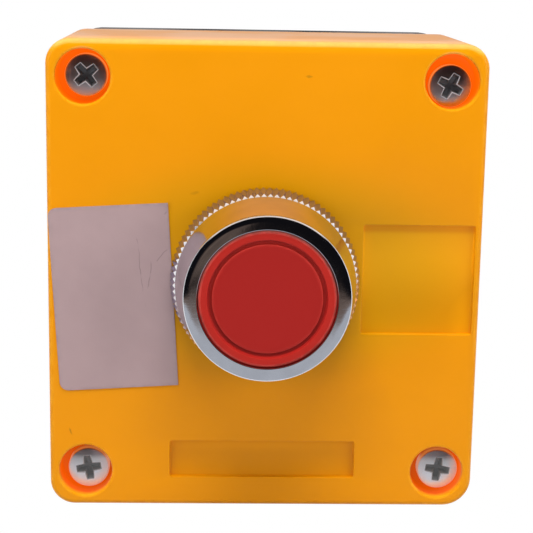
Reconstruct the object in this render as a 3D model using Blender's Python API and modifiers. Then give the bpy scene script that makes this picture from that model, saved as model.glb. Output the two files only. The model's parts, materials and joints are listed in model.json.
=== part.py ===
"""Wall box with one flush push-button.

The wall face of the box is the plane Y = 0 and its front looks along -Y. Every piece is drawn in the axes
of the box: X to the right, Y up, and Z forward from the wall. The empty box_axes turns those axes so that
the box stands upright in the world, with its back to the wall.
"""

import math

import bmesh
import bpy

# Clearances
SEAT_GAP = 0.0003
SCREW_CLEARANCE = 0.0003

# Lid
FACE_WIDTH = 0.0694
FACE_HEIGHT = 0.0760
LID_DEPTH = 0.0335
LID_DRAFT = 0.0005
LID_WALL = 0.0024
LID_CORNER_RADIUS = 0.0048
LID_EDGE_ROUND = 0.0009
SCREW_EDGE_X = 0.0058
SCREW_EDGE_Y = 0.0059
WELL_DEPTH = 0.0046
WELL_RADIUS = 0.0043
WELL_LIP = 0.0002
POST_WALL = 0.0013
RIB_HEIGHT = 0.0016
RIB_THICKNESS = 0.0014
RIB_SPACING = 0.0300
RIB_LENGTH = 0.0220

# Recesses in the face
SQUARE_RECESS_WIDTH = 0.0180
SQUARE_RECESS_HEIGHT = 0.0179
SQUARE_RECESS_MARGIN = 0.0011
SQUARE_RECESS_Y = 0.0003
NARROW_RECESS_WIDTH = 0.0303
NARROW_RECESS_HEIGHT = 0.0062
NARROW_RECESS_MARGIN = 0.0049
RECESS_DEPTH = 0.0008
RECESS_CORNER = 0.0006

# Base tray
BASE_DEPTH = 0.0210
BASE_INSET = 0.0004
BASE_WALL = 0.0020
BASE_FLOOR = 0.0026
BASE_EDGE_ROUND = 0.0008
BOSS_RADIUS = 0.0056
BOSS_SINK = 0.0005
PILOT_DEPTH = 0.0130
RIM_SHELF_HEIGHT = 0.0045
RIM_LIP_HEIGHT = 0.0025
RIM_LIP_THICKNESS = 0.0012
RIM_LIP_CLEARANCE = 0.0004
RIM_SHELF_MARGIN = 0.0002
GROOVE_INSET = 0.0011
GROOVE_WIDTH = 0.0015
GROOVE_DEPTH = 0.0013
WALL_HOLE_RADIUS = 0.0023
WALL_HOLE_EDGE_X = 0.0137
WALL_HOLE_EDGE_Y = 0.0195
WALL_PAD_RADIUS = 0.0052
WALL_PAD_HEIGHT = 0.0014
KNOCKOUT_RADIUS = 0.0082
KNOCKOUT_GROOVE_WIDTH = 0.0007
KNOCKOUT_GROOVE_DEPTH = 0.0007
KNOCKOUT_FROM_WALL = 0.0108

# Lid screws
SCREW_RADIUS = 0.00175
SCREW_HEAD_RADIUS = 0.0033
SCREW_HEAD_HEIGHT = 0.0022
HEAD_CROWN = 0.0003
HEAD_EDGE_ROUND = 0.0005
SCREW_BITE = 0.0100
SCREW_POINT = 0.0020
CROSS_WIDTH = 0.0010
CROSS_REACH = 0.0020
CROSS_DEPTH = 0.0012

# Bezel ring nut
PANEL_HOLE_RADIUS = 0.01125
KEY_NOTCH_WIDTH = 0.0032
KEY_NOTCH_REACH = 0.0129
KNURL_RADIUS = 0.0152
KNURL_TOOTH = 0.00045
KNURL_COUNT = 90
KNURL_HEIGHT = 0.0035
FOOT_CHAMFER_HEIGHT = 0.0008
CONE_FOOT_RADIUS = 0.01426
CONE_TOP_RADIUS = 0.0124
BEZEL_HEIGHT = 0.0142
BEZEL_RADIUS = 0.0128
BEZEL_ROUND = 0.0014
BEZEL_BAND = 0.0004
BEZEL_BORE_RADIUS = 0.01085
BEZEL_LIP = 0.0004
WASHER_INNER_RADIUS = 0.0120
WASHER_OUTER_RADIUS = 0.0137
WASHER_THICKNESS = 0.0010

# Head body
SLEEVE_RADIUS = 0.0110
CUP_RADIUS = 0.0086
WEB_THICKNESS = 0.0032
WEB_FRONT = 0.0017
SLEEVE_LENGTH_BEHIND = 0.0150
LUG_REACH = 0.0126
LUG_WIDTH = 0.0060
LUG_THICKNESS = 0.0017
KEY_CLEARANCE = 0.0003
SEAL_SECTION = 0.0010

# Cap, stem and return spring
CAP_CLEARANCE = 0.0003
CAP_SINK = 0.0003
CAP_DEPTH = 0.0049
CAP_SKIRT = 0.0012
CAP_TOP = 0.0017
CAP_EDGE_ROUND = 0.0005
CAP_GROOVE_OUTER = 0.0091
CAP_GROOVE_INNER = 0.00845
CAP_GROOVE_DEPTH = 0.0007
CAP_DISC_SINK = 0.0003
SPIGOT_RADIUS = 0.0030
SPIGOT_LENGTH = 0.0045
STEM_RADIUS = 0.0053
STEM_FLANGE_THICKNESS = 0.0018
STEM_TAIL_RADIUS = 0.0062
STEM_REACH_BEHIND = 0.0115
STEM_END_WALL = 0.0020
BUTTON_TRAVEL = 0.0040
RETURN_WIRE = 0.0004
RETURN_TURNS = 4.5

# Mounting collar behind the panel
COLLAR_FRONT = 0.0050
COLLAR_THICKNESS = 0.0080
COLLAR_RADIUS = 0.0146
COLLAR_PAD_WIDTH = 0.0140
COLLAR_EAR_RADIUS = 0.0036
COLLAR_EAR_SINK = 0.0005
COLLAR_SCREW_X = 0.0178
COLLAR_SCREW_RADIUS = 0.0015
COLLAR_SCREW_HEAD = 0.0028
COLLAR_SCREW_HEAD_HEIGHT = 0.0020

# Contact block, with distances counted backwards from the face of the lid
BLOCK_FRONT = 0.0162
BLOCK_LENGTH = 0.0268
BLOCK_ARM_LENGTH = 0.0168
BLOCK_HALF_CORE = 0.0100
BLOCK_HALF_HEIGHT = 0.0190
BLOCK_WIDTH = 0.0105
BLOCK_WALL = 0.0013
COVER_THICKNESS = 0.0010
HOOK_THICKNESS = 0.0015
HOOK_BARB = 0.0009
HOOK_REACH = 0.0038
FOOT_WIDTH = 0.0015
PLUNGER_HALF_NECK = 0.0022
PLUNGER_HALF_BODY = 0.0032
PLUNGER_BODY_LENGTH = 0.0170
PLUNGER_RAIL = 0.0012
STRIP_THICKNESS = 0.0008
STRIP_WIDTH = 0.0052
STRIP_FROM_FRONT = 0.0088
STRIP_INNER_END = 0.0044
STRIP_BEND_Y = 0.0116
TIP_RADIUS = 0.0013
TIP_HEIGHT = 0.0005
TIP_Y = 0.0062
BRIDGE_HALF_LENGTH = 0.0078
BRIDGE_WIDTH = 0.0042
BRIDGE_SPRING_RADIUS = 0.0014
BRIDGE_SPRING_TURNS = 4.0
BLOCK_SPRING_RADIUS = 0.0021
BLOCK_SPRING_TURNS = 3.0
SMALL_WIRE = 0.0002
TERMINAL_SCREW_Y = 0.0150
TERMINAL_SCREW_RADIUS = 0.0016
TERMINAL_SCREW_HEAD = 0.0029
TERMINAL_SCREW_HEAD_HEIGHT = 0.0022
TERMINAL_SCREW_LENGTH = 0.0090
CLAMP_HALF_SIZE = 0.0030
CLAMP_THICKNESS = 0.0008
COVER_PEG_RADIUS = 0.0009
COVER_PEG_LENGTH = 0.0040
COVER_PEG_Y = 0.0150
COVER_PEG_FROM_FRONT = 0.0060

# Facets round a full turn
FINE_STEPS = 48
PLAIN_STEPS = 32
SMALL_STEPS = 16
CORNER_STEPS = 6
COIL_STEPS = 12
CUT_OVERRUN = 0.0010

# Sizes that follow from the ones above
RIM_WIDTH = FACE_WIDTH + 2.0 * LID_DRAFT
RIM_HEIGHT = FACE_HEIGHT + 2.0 * LID_DRAFT
LID_RIM_Z = BASE_DEPTH + SEAT_GAP
FACE_Z = LID_RIM_Z + LID_DEPTH
POST_RADIUS = WELL_RADIUS + POST_WALL
RIM_LIP_INSET = LID_WALL + RIM_LIP_CLEARANCE
BASE_WIDTH = RIM_WIDTH - 2.0 * BASE_INSET
BASE_HEIGHT = RIM_HEIGHT - 2.0 * BASE_INSET
BASE_CORNER_RADIUS = LID_CORNER_RADIUS - BASE_INSET
SCREW_X = FACE_WIDTH / 2.0 - SCREW_EDGE_X
SCREW_Y = FACE_HEIGHT / 2.0 - SCREW_EDGE_Y
SCREW_PLACES = [(-SCREW_X, SCREW_Y), (SCREW_X, SCREW_Y), (-SCREW_X, -SCREW_Y), (SCREW_X, -SCREW_Y)]
SQUARE_RECESS_X = (FACE_WIDTH - SQUARE_RECESS_WIDTH) / 2.0 - SQUARE_RECESS_MARGIN
NARROW_RECESS_Y = (NARROW_RECESS_HEIGHT - FACE_HEIGHT) / 2.0 + NARROW_RECESS_MARGIN
WALL_HOLE_X = RIM_WIDTH / 2.0 - WALL_HOLE_EDGE_X
WALL_HOLE_Y = RIM_HEIGHT / 2.0 - WALL_HOLE_EDGE_Y
WEB_REAR = WEB_FRONT - WEB_THICKNESS
STEM_BORE = STEM_RADIUS + SEAT_GAP
CAP_RADIUS = BEZEL_BORE_RADIUS - CAP_CLEARANCE
CAP_FRONT = BEZEL_HEIGHT - CAP_SINK
CAP_UNDERSIDE = CAP_FRONT - CAP_DISC_SINK - CAP_TOP
NECK_FRONT = CAP_FRONT - CAP_DEPTH - BUTTON_TRAVEL - SEAT_GAP
COLLAR_REAR = COLLAR_FRONT + COLLAR_THICKNESS
PLUNGER_TIP = STEM_REACH_BEHIND + SEAT_GAP
BLOCK_REAR = BLOCK_FRONT + BLOCK_LENGTH
BLOCK_ARM_REAR = BLOCK_FRONT + BLOCK_ARM_LENGTH
BLOCK_LEFT = -BLOCK_WIDTH / 2.0
BLOCK_RIGHT = BLOCK_WIDTH / 2.0
BLOCK_BODY_LEFT = BLOCK_LEFT + COVER_THICKNESS + SEAT_GAP
CHAMBER_RIGHT = BLOCK_RIGHT - BLOCK_WALL
PLUNGER_SHOULDER = BLOCK_FRONT + BLOCK_WALL + SEAT_GAP
PLUNGER_REAR = PLUNGER_SHOULDER + PLUNGER_BODY_LENGTH
STRIP_FRONT = BLOCK_FRONT + STRIP_FROM_FRONT
STRIP_REAR = STRIP_FRONT + STRIP_THICKNESS
BRIDGE_FRONT = STRIP_REAR + 2.0 * TIP_HEIGHT + SEAT_GAP
BRIDGE_REAR = BRIDGE_FRONT + STRIP_THICKNESS
WINDOW_FRONT = BRIDGE_FRONT - SEAT_GAP
WINDOW_REAR = PLUNGER_REAR - PLUNGER_RAIL
SEAT_STRIP_REAR = BLOCK_ARM_REAR + SEAT_GAP + STRIP_THICKNESS


def clear_scene():
    for item in list(bpy.data.objects):
        bpy.data.objects.remove(item, do_unlink=True)


def new_collection(name):
    collection = bpy.data.collections.new(name)
    bpy.context.scene.collection.children.link(collection)
    return collection


def new_material(name, colour, roughness, metallic):
    material = bpy.data.materials.new(name)
    material.use_nodes = True
    shader = material.node_tree.nodes["Principled BSDF"]
    shader.inputs["Base Color"].default_value = (*colour, 1.0)
    shader.inputs["Roughness"].default_value = roughness
    shader.inputs["Metallic"].default_value = metallic
    material.diffuse_color = (*colour, 1.0)
    return material


def new_empty(name, parent=None, rotation=(0.0, 0.0, 0.0)):
    empty = bpy.data.objects.new(name, None)
    empty.empty_display_size = 0.01
    empty.rotation_euler = rotation
    empty.parent = parent
    PARTS.objects.link(empty)
    return empty


def add_object(name, data, parent, location=(0.0, 0.0, 0.0), rotation=(0.0, 0.0, 0.0), material=None):
    """Link data as a part when it has a material, and otherwise as a cutter."""
    item = bpy.data.objects.new(name, data)
    item.parent = parent
    item.location = location
    item.rotation_euler = rotation
    if material is None:
        CUTTERS.objects.link(item)
        item.hide_render = True
        item.display_type = "WIRE"
    else:
        data.materials.append(material)
        PARTS.objects.link(item)
    return item


def combine(target, tool, operation="DIFFERENCE", solver="EXACT"):
    """Cut, join or intersect. The manifold solver is for pieces that the exact one leaves open."""
    modifier = target.modifiers.new(f"{operation.lower()}_{tool.name}", "BOOLEAN")
    modifier.operation = operation
    modifier.solver = solver
    modifier.object = tool


def turned(name, profile, parent, steps, closed=False, **placing):
    """Turn a profile of (radius, height) points about the piece's own Z axis.

    The points run down the outer side. A closed profile makes a ring, and an open one ends on the axis.
    """
    mesh = bpy.data.meshes.new(name)
    shape = bmesh.new()
    points = [shape.verts.new((radius, 0.0, height)) for radius, height in profile]
    for first, second in zip(points, points[1:]):
        shape.edges.new((first, second))
    if closed:
        shape.edges.new((points[-1], points[0]))
    shape.to_mesh(mesh)
    shape.free()
    item = add_object(name, mesh, parent, **placing)
    screw = item.modifiers.new("turn", "SCREW")
    screw.steps = steps
    screw.render_steps = steps
    screw.use_merge_vertices = True
    screw.merge_threshold = 0.000001
    screw.use_smooth_shade = False
    return item


def block(name, low, high, parent, **placing):
    """A plain block between two corners."""
    mesh = bpy.data.meshes.new(name)
    shape = bmesh.new()
    bmesh.ops.create_cube(shape, size=1.0)
    for vert in shape.verts:
        for axis in range(3):
            middle = (low[axis] + high[axis]) / 2.0
            vert.co[axis] = middle + vert.co[axis] * (high[axis] - low[axis])
    shape.to_mesh(mesh)
    shape.free()
    return add_object(name, mesh, parent, **placing)


def drafted_block(name, rear, front, corner, parent, edge_round=0.0, round_front=True, **placing):
    """A block that tapers between two sections, each (width, height, z), with rounded corners.

    The edge round runs along the front section, or along the rear one.
    """
    mesh = bpy.data.meshes.new(name)
    shape = bmesh.new()
    bmesh.ops.create_cube(shape, size=1.0)
    for vert in shape.verts:
        width, height, depth = front if vert.co.z > 0.0 else rear
        vert.co.x *= width
        vert.co.y *= height
        vert.co.z = depth
    upright = [edge for edge in shape.edges if abs(edge.verts[0].co.z - edge.verts[1].co.z) > 1e-6]
    bmesh.ops.bevel(
        shape, geom=upright, offset=corner, offset_type="OFFSET", segments=CORNER_STEPS,
        profile=0.5, affect="EDGES",
    )
    if edge_round > 0.0:
        plane = front[2] if round_front else rear[2]
        around = [edge for edge in shape.edges if all(abs(v.co.z - plane) < 1e-6 for v in edge.verts)]
        bmesh.ops.bevel(
            shape, geom=around, offset=edge_round, offset_type="OFFSET", segments=3,
            profile=0.5, affect="EDGES",
        )
    shape.to_mesh(mesh)
    shape.free()
    return add_object(name, mesh, parent, **placing)


def rounded_rectangle(width, height, radius):
    points = []
    for quarter, (side_x, side_y) in enumerate([(1, 1), (-1, 1), (-1, -1), (1, -1)]):
        for step in range(CORNER_STEPS + 1):
            angle = math.pi / 2.0 * (quarter + step / CORNER_STEPS)
            points.append((
                side_x * (width / 2.0 - radius) + radius * math.cos(angle),
                side_y * (height / 2.0 - radius) + radius * math.sin(angle),
            ))
    return points


def plate(name, outlines, low, high, parent, location=(0.0, 0.0), rotation=(0.0, 0.0, 0.0), material=None):
    """A flat outline, with holes where it has more than one loop, thickened from low to high."""
    curve = bpy.data.curves.new(name, "CURVE")
    curve.dimensions = "2D"
    curve.fill_mode = "BOTH"
    curve.extrude = (high - low) / 2.0
    for outline in outlines:
        spline = curve.splines.new("POLY")
        spline.points.add(len(outline) - 1)
        for point, (x, y) in zip(spline.points, outline):
            point.co = (x, y, 0.0, 1.0)
        spline.use_cyclic_u = True
    flat = bpy.data.objects.new(name, curve)
    CUTTERS.objects.link(flat)
    bpy.context.view_layer.update()
    mesh = bpy.data.meshes.new_from_object(flat.evaluated_get(bpy.context.evaluated_depsgraph_get()))
    bpy.data.objects.remove(flat)
    bpy.data.curves.remove(curve)
    shape = bmesh.new()
    shape.from_mesh(mesh)
    bmesh.ops.remove_doubles(shape, verts=shape.verts, dist=0.000001)
    middle = (low + high) / 2.0
    for vert in shape.verts:
        vert.co.z += middle
        vert.co.x += location[0]
        vert.co.y += location[1]
    shape.to_mesh(mesh)
    shape.free()
    mesh.name = name
    return add_object(name, mesh, parent, rotation=rotation, material=material)


def coil(name, mean_radius, wire_radius, rear, front, turns, parent, material):
    """A round wire spring that fills the space from rear to front."""
    curve = bpy.data.curves.new(name, "CURVE")
    curve.dimensions = "3D"
    curve.bevel_depth = wire_radius
    curve.bevel_resolution = 1
    curve.use_fill_caps = True
    count = int(turns * COIL_STEPS) + 1
    spline = curve.splines.new("POLY")
    spline.points.add(count - 1)
    for index, point in enumerate(spline.points):
        share = index / (count - 1)
        angle = 2.0 * math.pi * turns * share
        height = rear + wire_radius + share * (front - rear - 2.0 * wire_radius)
        point.co = (mean_radius * math.cos(angle), mean_radius * math.sin(angle), height, 1.0)
    return add_object(name, curve, parent, material=material)


def smooth(item, angle=35.0):
    item.data.shade_smooth()
    item.data.set_sharp_from_angle(angle=math.radians(angle))


def mirrored(points):
    """The points of one half outline, and then their images below the middle line."""
    return points + [(u, -v) for u, v in reversed(points)]


SIDEWAYS = (0.0, -math.pi / 2.0, 0.0)


def make_lid(parent, material):
    lid = drafted_block(
        "lid", (RIM_WIDTH, RIM_HEIGHT, LID_RIM_Z), (FACE_WIDTH, FACE_HEIGHT, FACE_Z),
        LID_CORNER_RADIUS, parent, edge_round=LID_EDGE_ROUND, material=material,
    )
    inside_front = FACE_Z - LID_WALL
    slope = 2.0 * LID_DRAFT / LID_DEPTH
    open_z = LID_RIM_Z - CUT_OVERRUN
    grow_front = slope * LID_WALL - 2.0 * LID_WALL
    grow_open = slope * (FACE_Z - open_z) - 2.0 * LID_WALL
    cavity = drafted_block(
        "lid_cavity", (FACE_WIDTH + grow_open, FACE_HEIGHT + grow_open, open_z),
        (FACE_WIDTH + grow_front, FACE_HEIGHT + grow_front, inside_front),
        LID_CORNER_RADIUS - LID_WALL, parent,
    )
    for number, (x, y) in enumerate(SCREW_PLACES, 1):
        post = turned(
            f"lid_post_{number}",
            [(0.0, FACE_Z), (POST_RADIUS, FACE_Z), (POST_RADIUS, open_z - CUT_OVERRUN),
             (0.0, open_z - CUT_OVERRUN)],
            parent, PLAIN_STEPS, location=(x, y, 0.0),
        )
        combine(cavity, post)
    rib_reach = (FACE_WIDTH + grow_front) / 2.0 - RIB_HEIGHT
    for side in (-1.0, 1.0):
        for level in (-1.0, 1.0):
            near, far = sorted((side * rib_reach, side * FACE_WIDTH))
            middle = level * RIB_SPACING / 2.0
            rib = block(
                f"lid_rib_{'left' if side < 0 else 'right'}_{'low' if level < 0 else 'high'}",
                (near, middle - RIB_THICKNESS / 2.0, inside_front - RIB_LENGTH),
                (far, middle + RIB_THICKNESS / 2.0, FACE_Z), parent,
            )
            combine(cavity, rib)
    combine(lid, cavity)
    for number, (x, y) in enumerate(SCREW_PLACES, 1):
        hole = SCREW_RADIUS + SCREW_CLEARANCE
        well = turned(
            f"lid_well_{number}",
            [(0.0, FACE_Z + CUT_OVERRUN), (WELL_RADIUS + WELL_LIP, FACE_Z + CUT_OVERRUN),
             (WELL_RADIUS + WELL_LIP, FACE_Z), (WELL_RADIUS, FACE_Z - 2.0 * WELL_LIP),
             (WELL_RADIUS, FACE_Z - WELL_DEPTH), (hole, FACE_Z - WELL_DEPTH),
             (hole, LID_RIM_Z - CUT_OVERRUN), (0.0, LID_RIM_Z - CUT_OVERRUN)],
            parent, PLAIN_STEPS, location=(x, y, 0.0),
        )
        combine(lid, well)
    recesses = [
        ("square_recess", SQUARE_RECESS_WIDTH, SQUARE_RECESS_HEIGHT, SQUARE_RECESS_X, SQUARE_RECESS_Y),
        ("narrow_recess", NARROW_RECESS_WIDTH, NARROW_RECESS_HEIGHT, 0.0, NARROW_RECESS_Y),
    ]
    for name, width, height, x, y in recesses:
        outline = rounded_rectangle(width, height, RECESS_CORNER)
        recess = plate(name, [outline], FACE_Z - RECESS_DEPTH, FACE_Z + CUT_OVERRUN, parent, (x, y))
        combine(lid, recess)
    opening = turned(
        "button_opening",
        [(0.0, FACE_Z + CUT_OVERRUN), (PANEL_HOLE_RADIUS, FACE_Z + CUT_OVERRUN),
         (PANEL_HOLE_RADIUS, inside_front - CUT_OVERRUN), (0.0, inside_front - CUT_OVERRUN)],
        parent, FINE_STEPS,
    )
    notch = block(
        "key_notch", (-KEY_NOTCH_WIDTH / 2.0, 0.0, inside_front - CUT_OVERRUN),
        (KEY_NOTCH_WIDTH / 2.0, KEY_NOTCH_REACH, FACE_Z + CUT_OVERRUN), parent,
    )
    combine(lid, opening)
    combine(lid, notch)
    smooth(lid)


def frame_outlines(outer_inset, inner_inset):
    """The two loops of a frame that follows the rim of the base at the given insets."""
    loops = []
    for inset in (outer_inset, inner_inset):
        loops.append(rounded_rectangle(
            RIM_WIDTH - 2.0 * inset, RIM_HEIGHT - 2.0 * inset, max(LID_CORNER_RADIUS - inset, 0.0006)
        ))
    return loops


def make_base(parent, material):
    section = (BASE_WIDTH, BASE_HEIGHT)
    base = drafted_block(
        "base", (*section, 0.0), (*section, BASE_DEPTH), BASE_CORNER_RADIUS, parent,
        edge_round=BASE_EDGE_ROUND, round_front=False, material=material,
    )
    inner = (BASE_WIDTH - 2.0 * BASE_WALL, BASE_HEIGHT - 2.0 * BASE_WALL)
    cavity = drafted_block(
        "base_cavity", (*inner, BASE_FLOOR), (*inner, BASE_DEPTH + CUT_OVERRUN),
        BASE_CORNER_RADIUS - BASE_WALL, parent,
    )
    for number, (x, y) in enumerate(SCREW_PLACES, 1):
        top = BASE_DEPTH - BOSS_SINK
        boss = turned(
            f"base_boss_{number}", [(0.0, top), (BOSS_RADIUS, top), (BOSS_RADIUS, 0.0), (0.0, 0.0)],
            parent, SMALL_STEPS, location=(x, y, 0.0),
        )
        combine(cavity, boss)
    wall_places = [(-WALL_HOLE_X, WALL_HOLE_Y), (WALL_HOLE_X, -WALL_HOLE_Y)]
    for number, (x, y) in enumerate(wall_places, 1):
        top = BASE_FLOOR + WALL_PAD_HEIGHT
        pad = turned(
            f"wall_pad_{number}", [(0.0, top), (WALL_PAD_RADIUS, top), (WALL_PAD_RADIUS, 0.0), (0.0, 0.0)],
            parent, SMALL_STEPS, location=(x, y, 0.0),
        )
        combine(cavity, pad)
    lip_inner_inset = RIM_LIP_INSET + RIM_LIP_THICKNESS
    shelf = plate(
        "rim_shelf", frame_outlines(0.0, lip_inner_inset + RIM_SHELF_MARGIN),
        BASE_DEPTH - RIM_SHELF_HEIGHT, BASE_DEPTH, parent,
    )
    combine(cavity, shelf)
    combine(base, cavity, solver="MANIFOLD")
    lip = plate(
        "rim_lip", frame_outlines(RIM_LIP_INSET, lip_inner_inset), BASE_DEPTH - RIM_SHELF_HEIGHT / 2.0,
        BASE_DEPTH + RIM_LIP_HEIGHT, parent,
    )
    for number, (x, y) in enumerate(SCREW_PLACES, 1):
        clearance = POST_RADIUS + RIM_LIP_CLEARANCE
        relief = turned(
            f"lip_relief_{number}",
            [(0.0, BASE_DEPTH + 2.0 * RIM_LIP_HEIGHT), (clearance, BASE_DEPTH + 2.0 * RIM_LIP_HEIGHT),
             (clearance, BASE_DEPTH - RIM_SHELF_HEIGHT), (0.0, BASE_DEPTH - RIM_SHELF_HEIGHT)],
            parent, PLAIN_STEPS, location=(x, y, 0.0),
        )
        combine(lip, relief)
    combine(base, lip, "UNION", "MANIFOLD")
    groove = plate(
        "gasket_groove", frame_outlines(GROOVE_INSET, GROOVE_INSET + GROOVE_WIDTH),
        BASE_DEPTH - GROOVE_DEPTH, BASE_DEPTH + CUT_OVERRUN, parent,
    )
    combine(base, groove, solver="MANIFOLD")
    for number, (x, y) in enumerate(SCREW_PLACES, 1):
        radius = SCREW_RADIUS + SCREW_CLEARANCE
        pilot = turned(
            f"pilot_{number}",
            [(0.0, BASE_DEPTH + CUT_OVERRUN), (radius, BASE_DEPTH + CUT_OVERRUN),
             (radius, BASE_DEPTH - PILOT_DEPTH), (0.0, BASE_DEPTH - PILOT_DEPTH)],
            parent, SMALL_STEPS, location=(x, y, 0.0),
        )
        combine(base, pilot, solver="MANIFOLD")
    for number, (x, y) in enumerate(wall_places, 1):
        top = BASE_FLOOR + WALL_PAD_HEIGHT + CUT_OVERRUN
        hole = turned(
            f"wall_hole_{number}",
            [(0.0, top), (WALL_HOLE_RADIUS, top), (WALL_HOLE_RADIUS, -CUT_OVERRUN), (0.0, -CUT_OVERRUN)],
            parent, SMALL_STEPS, location=(x, y, 0.0),
        )
        combine(base, hole, solver="MANIFOLD")
    for name, side in (("upper", 1.0), ("lower", -1.0)):
        ring = turned(
            f"knockout_{name}",
            [(KNOCKOUT_RADIUS - KNOCKOUT_GROOVE_WIDTH, CUT_OVERRUN), (KNOCKOUT_RADIUS, CUT_OVERRUN),
             (KNOCKOUT_RADIUS, -KNOCKOUT_GROOVE_DEPTH),
             (KNOCKOUT_RADIUS - KNOCKOUT_GROOVE_WIDTH, -KNOCKOUT_GROOVE_DEPTH)],
            parent, PLAIN_STEPS, closed=True, location=(0.0, side * BASE_HEIGHT / 2.0, KNOCKOUT_FROM_WALL),
            rotation=(-side * math.pi / 2.0, 0.0, 0.0),
        )
        combine(base, ring, solver="MANIFOLD")
    smooth(base)


def make_gasket(parent, material):
    plate(
        "lid_gasket", frame_outlines(GROOVE_INSET + SEAT_GAP, GROOVE_INSET + GROOVE_WIDTH - SEAT_GAP),
        BASE_DEPTH - GROOVE_DEPTH + SEAT_GAP, BASE_DEPTH, parent, material=material,
    )


def pan_head(radius, height):
    """Half the outline of a pan head, from its low crown to its lower rim, above its seat."""
    points = [(0.0, height)]
    for step in range(4):
        angle = math.pi / 2.0 * step / 3.0
        points.append((
            radius - HEAD_EDGE_ROUND + HEAD_EDGE_ROUND * math.sin(angle),
            height - HEAD_CROWN - HEAD_EDGE_ROUND + HEAD_EDGE_ROUND * math.cos(angle),
        ))
    points.append((radius, 0.0))
    return points


def cross_cutter(name, tip, parent, location):
    """A cross of two blades that sinks into a screw head whose crown is at height tip."""
    low = tip - CROSS_DEPTH
    high = tip + CUT_OVERRUN
    half = CROSS_WIDTH / 2.0
    cross = block(f"{name}_a", (-CROSS_REACH, -half, low), (CROSS_REACH, half, high), parent, location=location)
    blade = block(f"{name}_b", (-half, -CROSS_REACH, low), (half, CROSS_REACH, high), parent, location=location)
    combine(cross, blade, "UNION")
    return cross


def make_lid_screws(parent, material):
    seat = FACE_Z - WELL_DEPTH + SEAT_GAP
    length = seat - BASE_DEPTH + SCREW_BITE
    head = pan_head(SCREW_HEAD_RADIUS, SCREW_HEAD_HEIGHT)
    shank = [(SCREW_RADIUS, 0.0), (SCREW_RADIUS, SCREW_POINT - length), (0.0, -length)]
    for number, (x, y) in enumerate(SCREW_PLACES, 1):
        screw = turned(
            f"lid_screw_{number}", head + shank, parent, SMALL_STEPS, location=(x, y, seat), material=material
        )
        combine(screw, cross_cutter(f"cross_{number}", SCREW_HEAD_HEIGHT, parent, (x, y, seat)))
        smooth(screw)


def tapered_teeth(name, rear_root, front_root, low, high, parent):
    """A ring of pointed teeth whose root radius changes from low to high."""
    mesh = bpy.data.meshes.new(name)
    shape = bmesh.new()
    loops = []
    for root, height in ((rear_root, low), (front_root, high)):
        loop = []
        for index in range(2 * KNURL_COUNT):
            angle = math.pi * index / KNURL_COUNT
            radius = root + (1 - index % 2) * KNURL_TOOTH
            loop.append(shape.verts.new((radius * math.cos(angle), radius * math.sin(angle), height)))
        loops.append(loop)
    for index in range(2 * KNURL_COUNT):
        after = (index + 1) % (2 * KNURL_COUNT)
        shape.faces.new((loops[0][index], loops[0][after], loops[1][after], loops[1][index]))
    shape.faces.new(loops[0][::-1])
    shape.faces.new(loops[1])
    shape.to_mesh(mesh)
    shape.free()
    return add_object(name, mesh, parent)


def make_bezel(parent, material):
    foot = SEAT_GAP
    shoulder = foot + KNURL_HEIGHT + FOOT_CHAMFER_HEIGHT
    round_start = BEZEL_HEIGHT - BEZEL_ROUND
    flat_radius = BEZEL_BORE_RADIUS + BEZEL_LIP
    washer_room = foot + WASHER_THICKNESS + SEAT_GAP
    profile = [(BEZEL_BORE_RADIUS, BEZEL_HEIGHT)]
    for step in range(7):
        angle = math.pi / 2.0 * step / 6.0
        profile.append((
            flat_radius + (BEZEL_RADIUS - flat_radius) * math.sin(angle),
            round_start + BEZEL_ROUND * math.cos(angle),
        ))
    profile += [
        (BEZEL_RADIUS, round_start - BEZEL_BAND),
        (CONE_TOP_RADIUS, round_start - 1.5 * BEZEL_BAND),
        (CONE_FOOT_RADIUS, shoulder),
        (CONE_FOOT_RADIUS, washer_room),
        (SLEEVE_RADIUS + SEAT_GAP, washer_room),
        (SLEEVE_RADIUS + SEAT_GAP, NECK_FRONT + SEAT_GAP),
        (BEZEL_BORE_RADIUS, NECK_FRONT + 2.0 * SEAT_GAP),
    ]
    bezel = turned(
        "bezel_ring", profile, parent, FINE_STEPS, closed=True, location=(0.0, 0.0, FACE_Z),
        material=material,
    )
    rear_root = KNURL_RADIUS - KNURL_TOOTH
    taper = (rear_root - CONE_FOOT_RADIUS) / (shoulder - foot)
    knurl = tapered_teeth(
        "knurl_teeth", rear_root, CONE_FOOT_RADIUS - taper * CUT_OVERRUN, FACE_Z + foot,
        FACE_Z + shoulder + CUT_OVERRUN, parent,
    )
    chamfer = KNURL_TOOTH / FOOT_CHAMFER_HEIGHT
    outside = KNURL_RADIUS + CUT_OVERRUN
    outside_top = shoulder - (outside - CONE_FOOT_RADIUS) / chamfer
    ring_bore = (SLEEVE_RADIUS + CONE_FOOT_RADIUS) / 2.0
    recess_radius = WASHER_OUTER_RADIUS + SEAT_GAP
    recess_top = washer_room + SEAT_GAP
    foot_ring = turned(
        "knurl_foot",
        [(ring_bore, shoulder - SEAT_GAP), (CONE_FOOT_RADIUS + chamfer * SEAT_GAP, shoulder - SEAT_GAP),
         (outside, outside_top), (outside, foot - CUT_OVERRUN), (recess_radius, foot - CUT_OVERRUN),
         (recess_radius, recess_top), (ring_bore, recess_top)],
        parent, FINE_STEPS, closed=True, location=(0.0, 0.0, FACE_Z),
    )
    combine(knurl, foot_ring, "INTERSECT", "MANIFOLD")
    combine(bezel, knurl, "UNION", "MANIFOLD")
    smooth(bezel)


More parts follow.
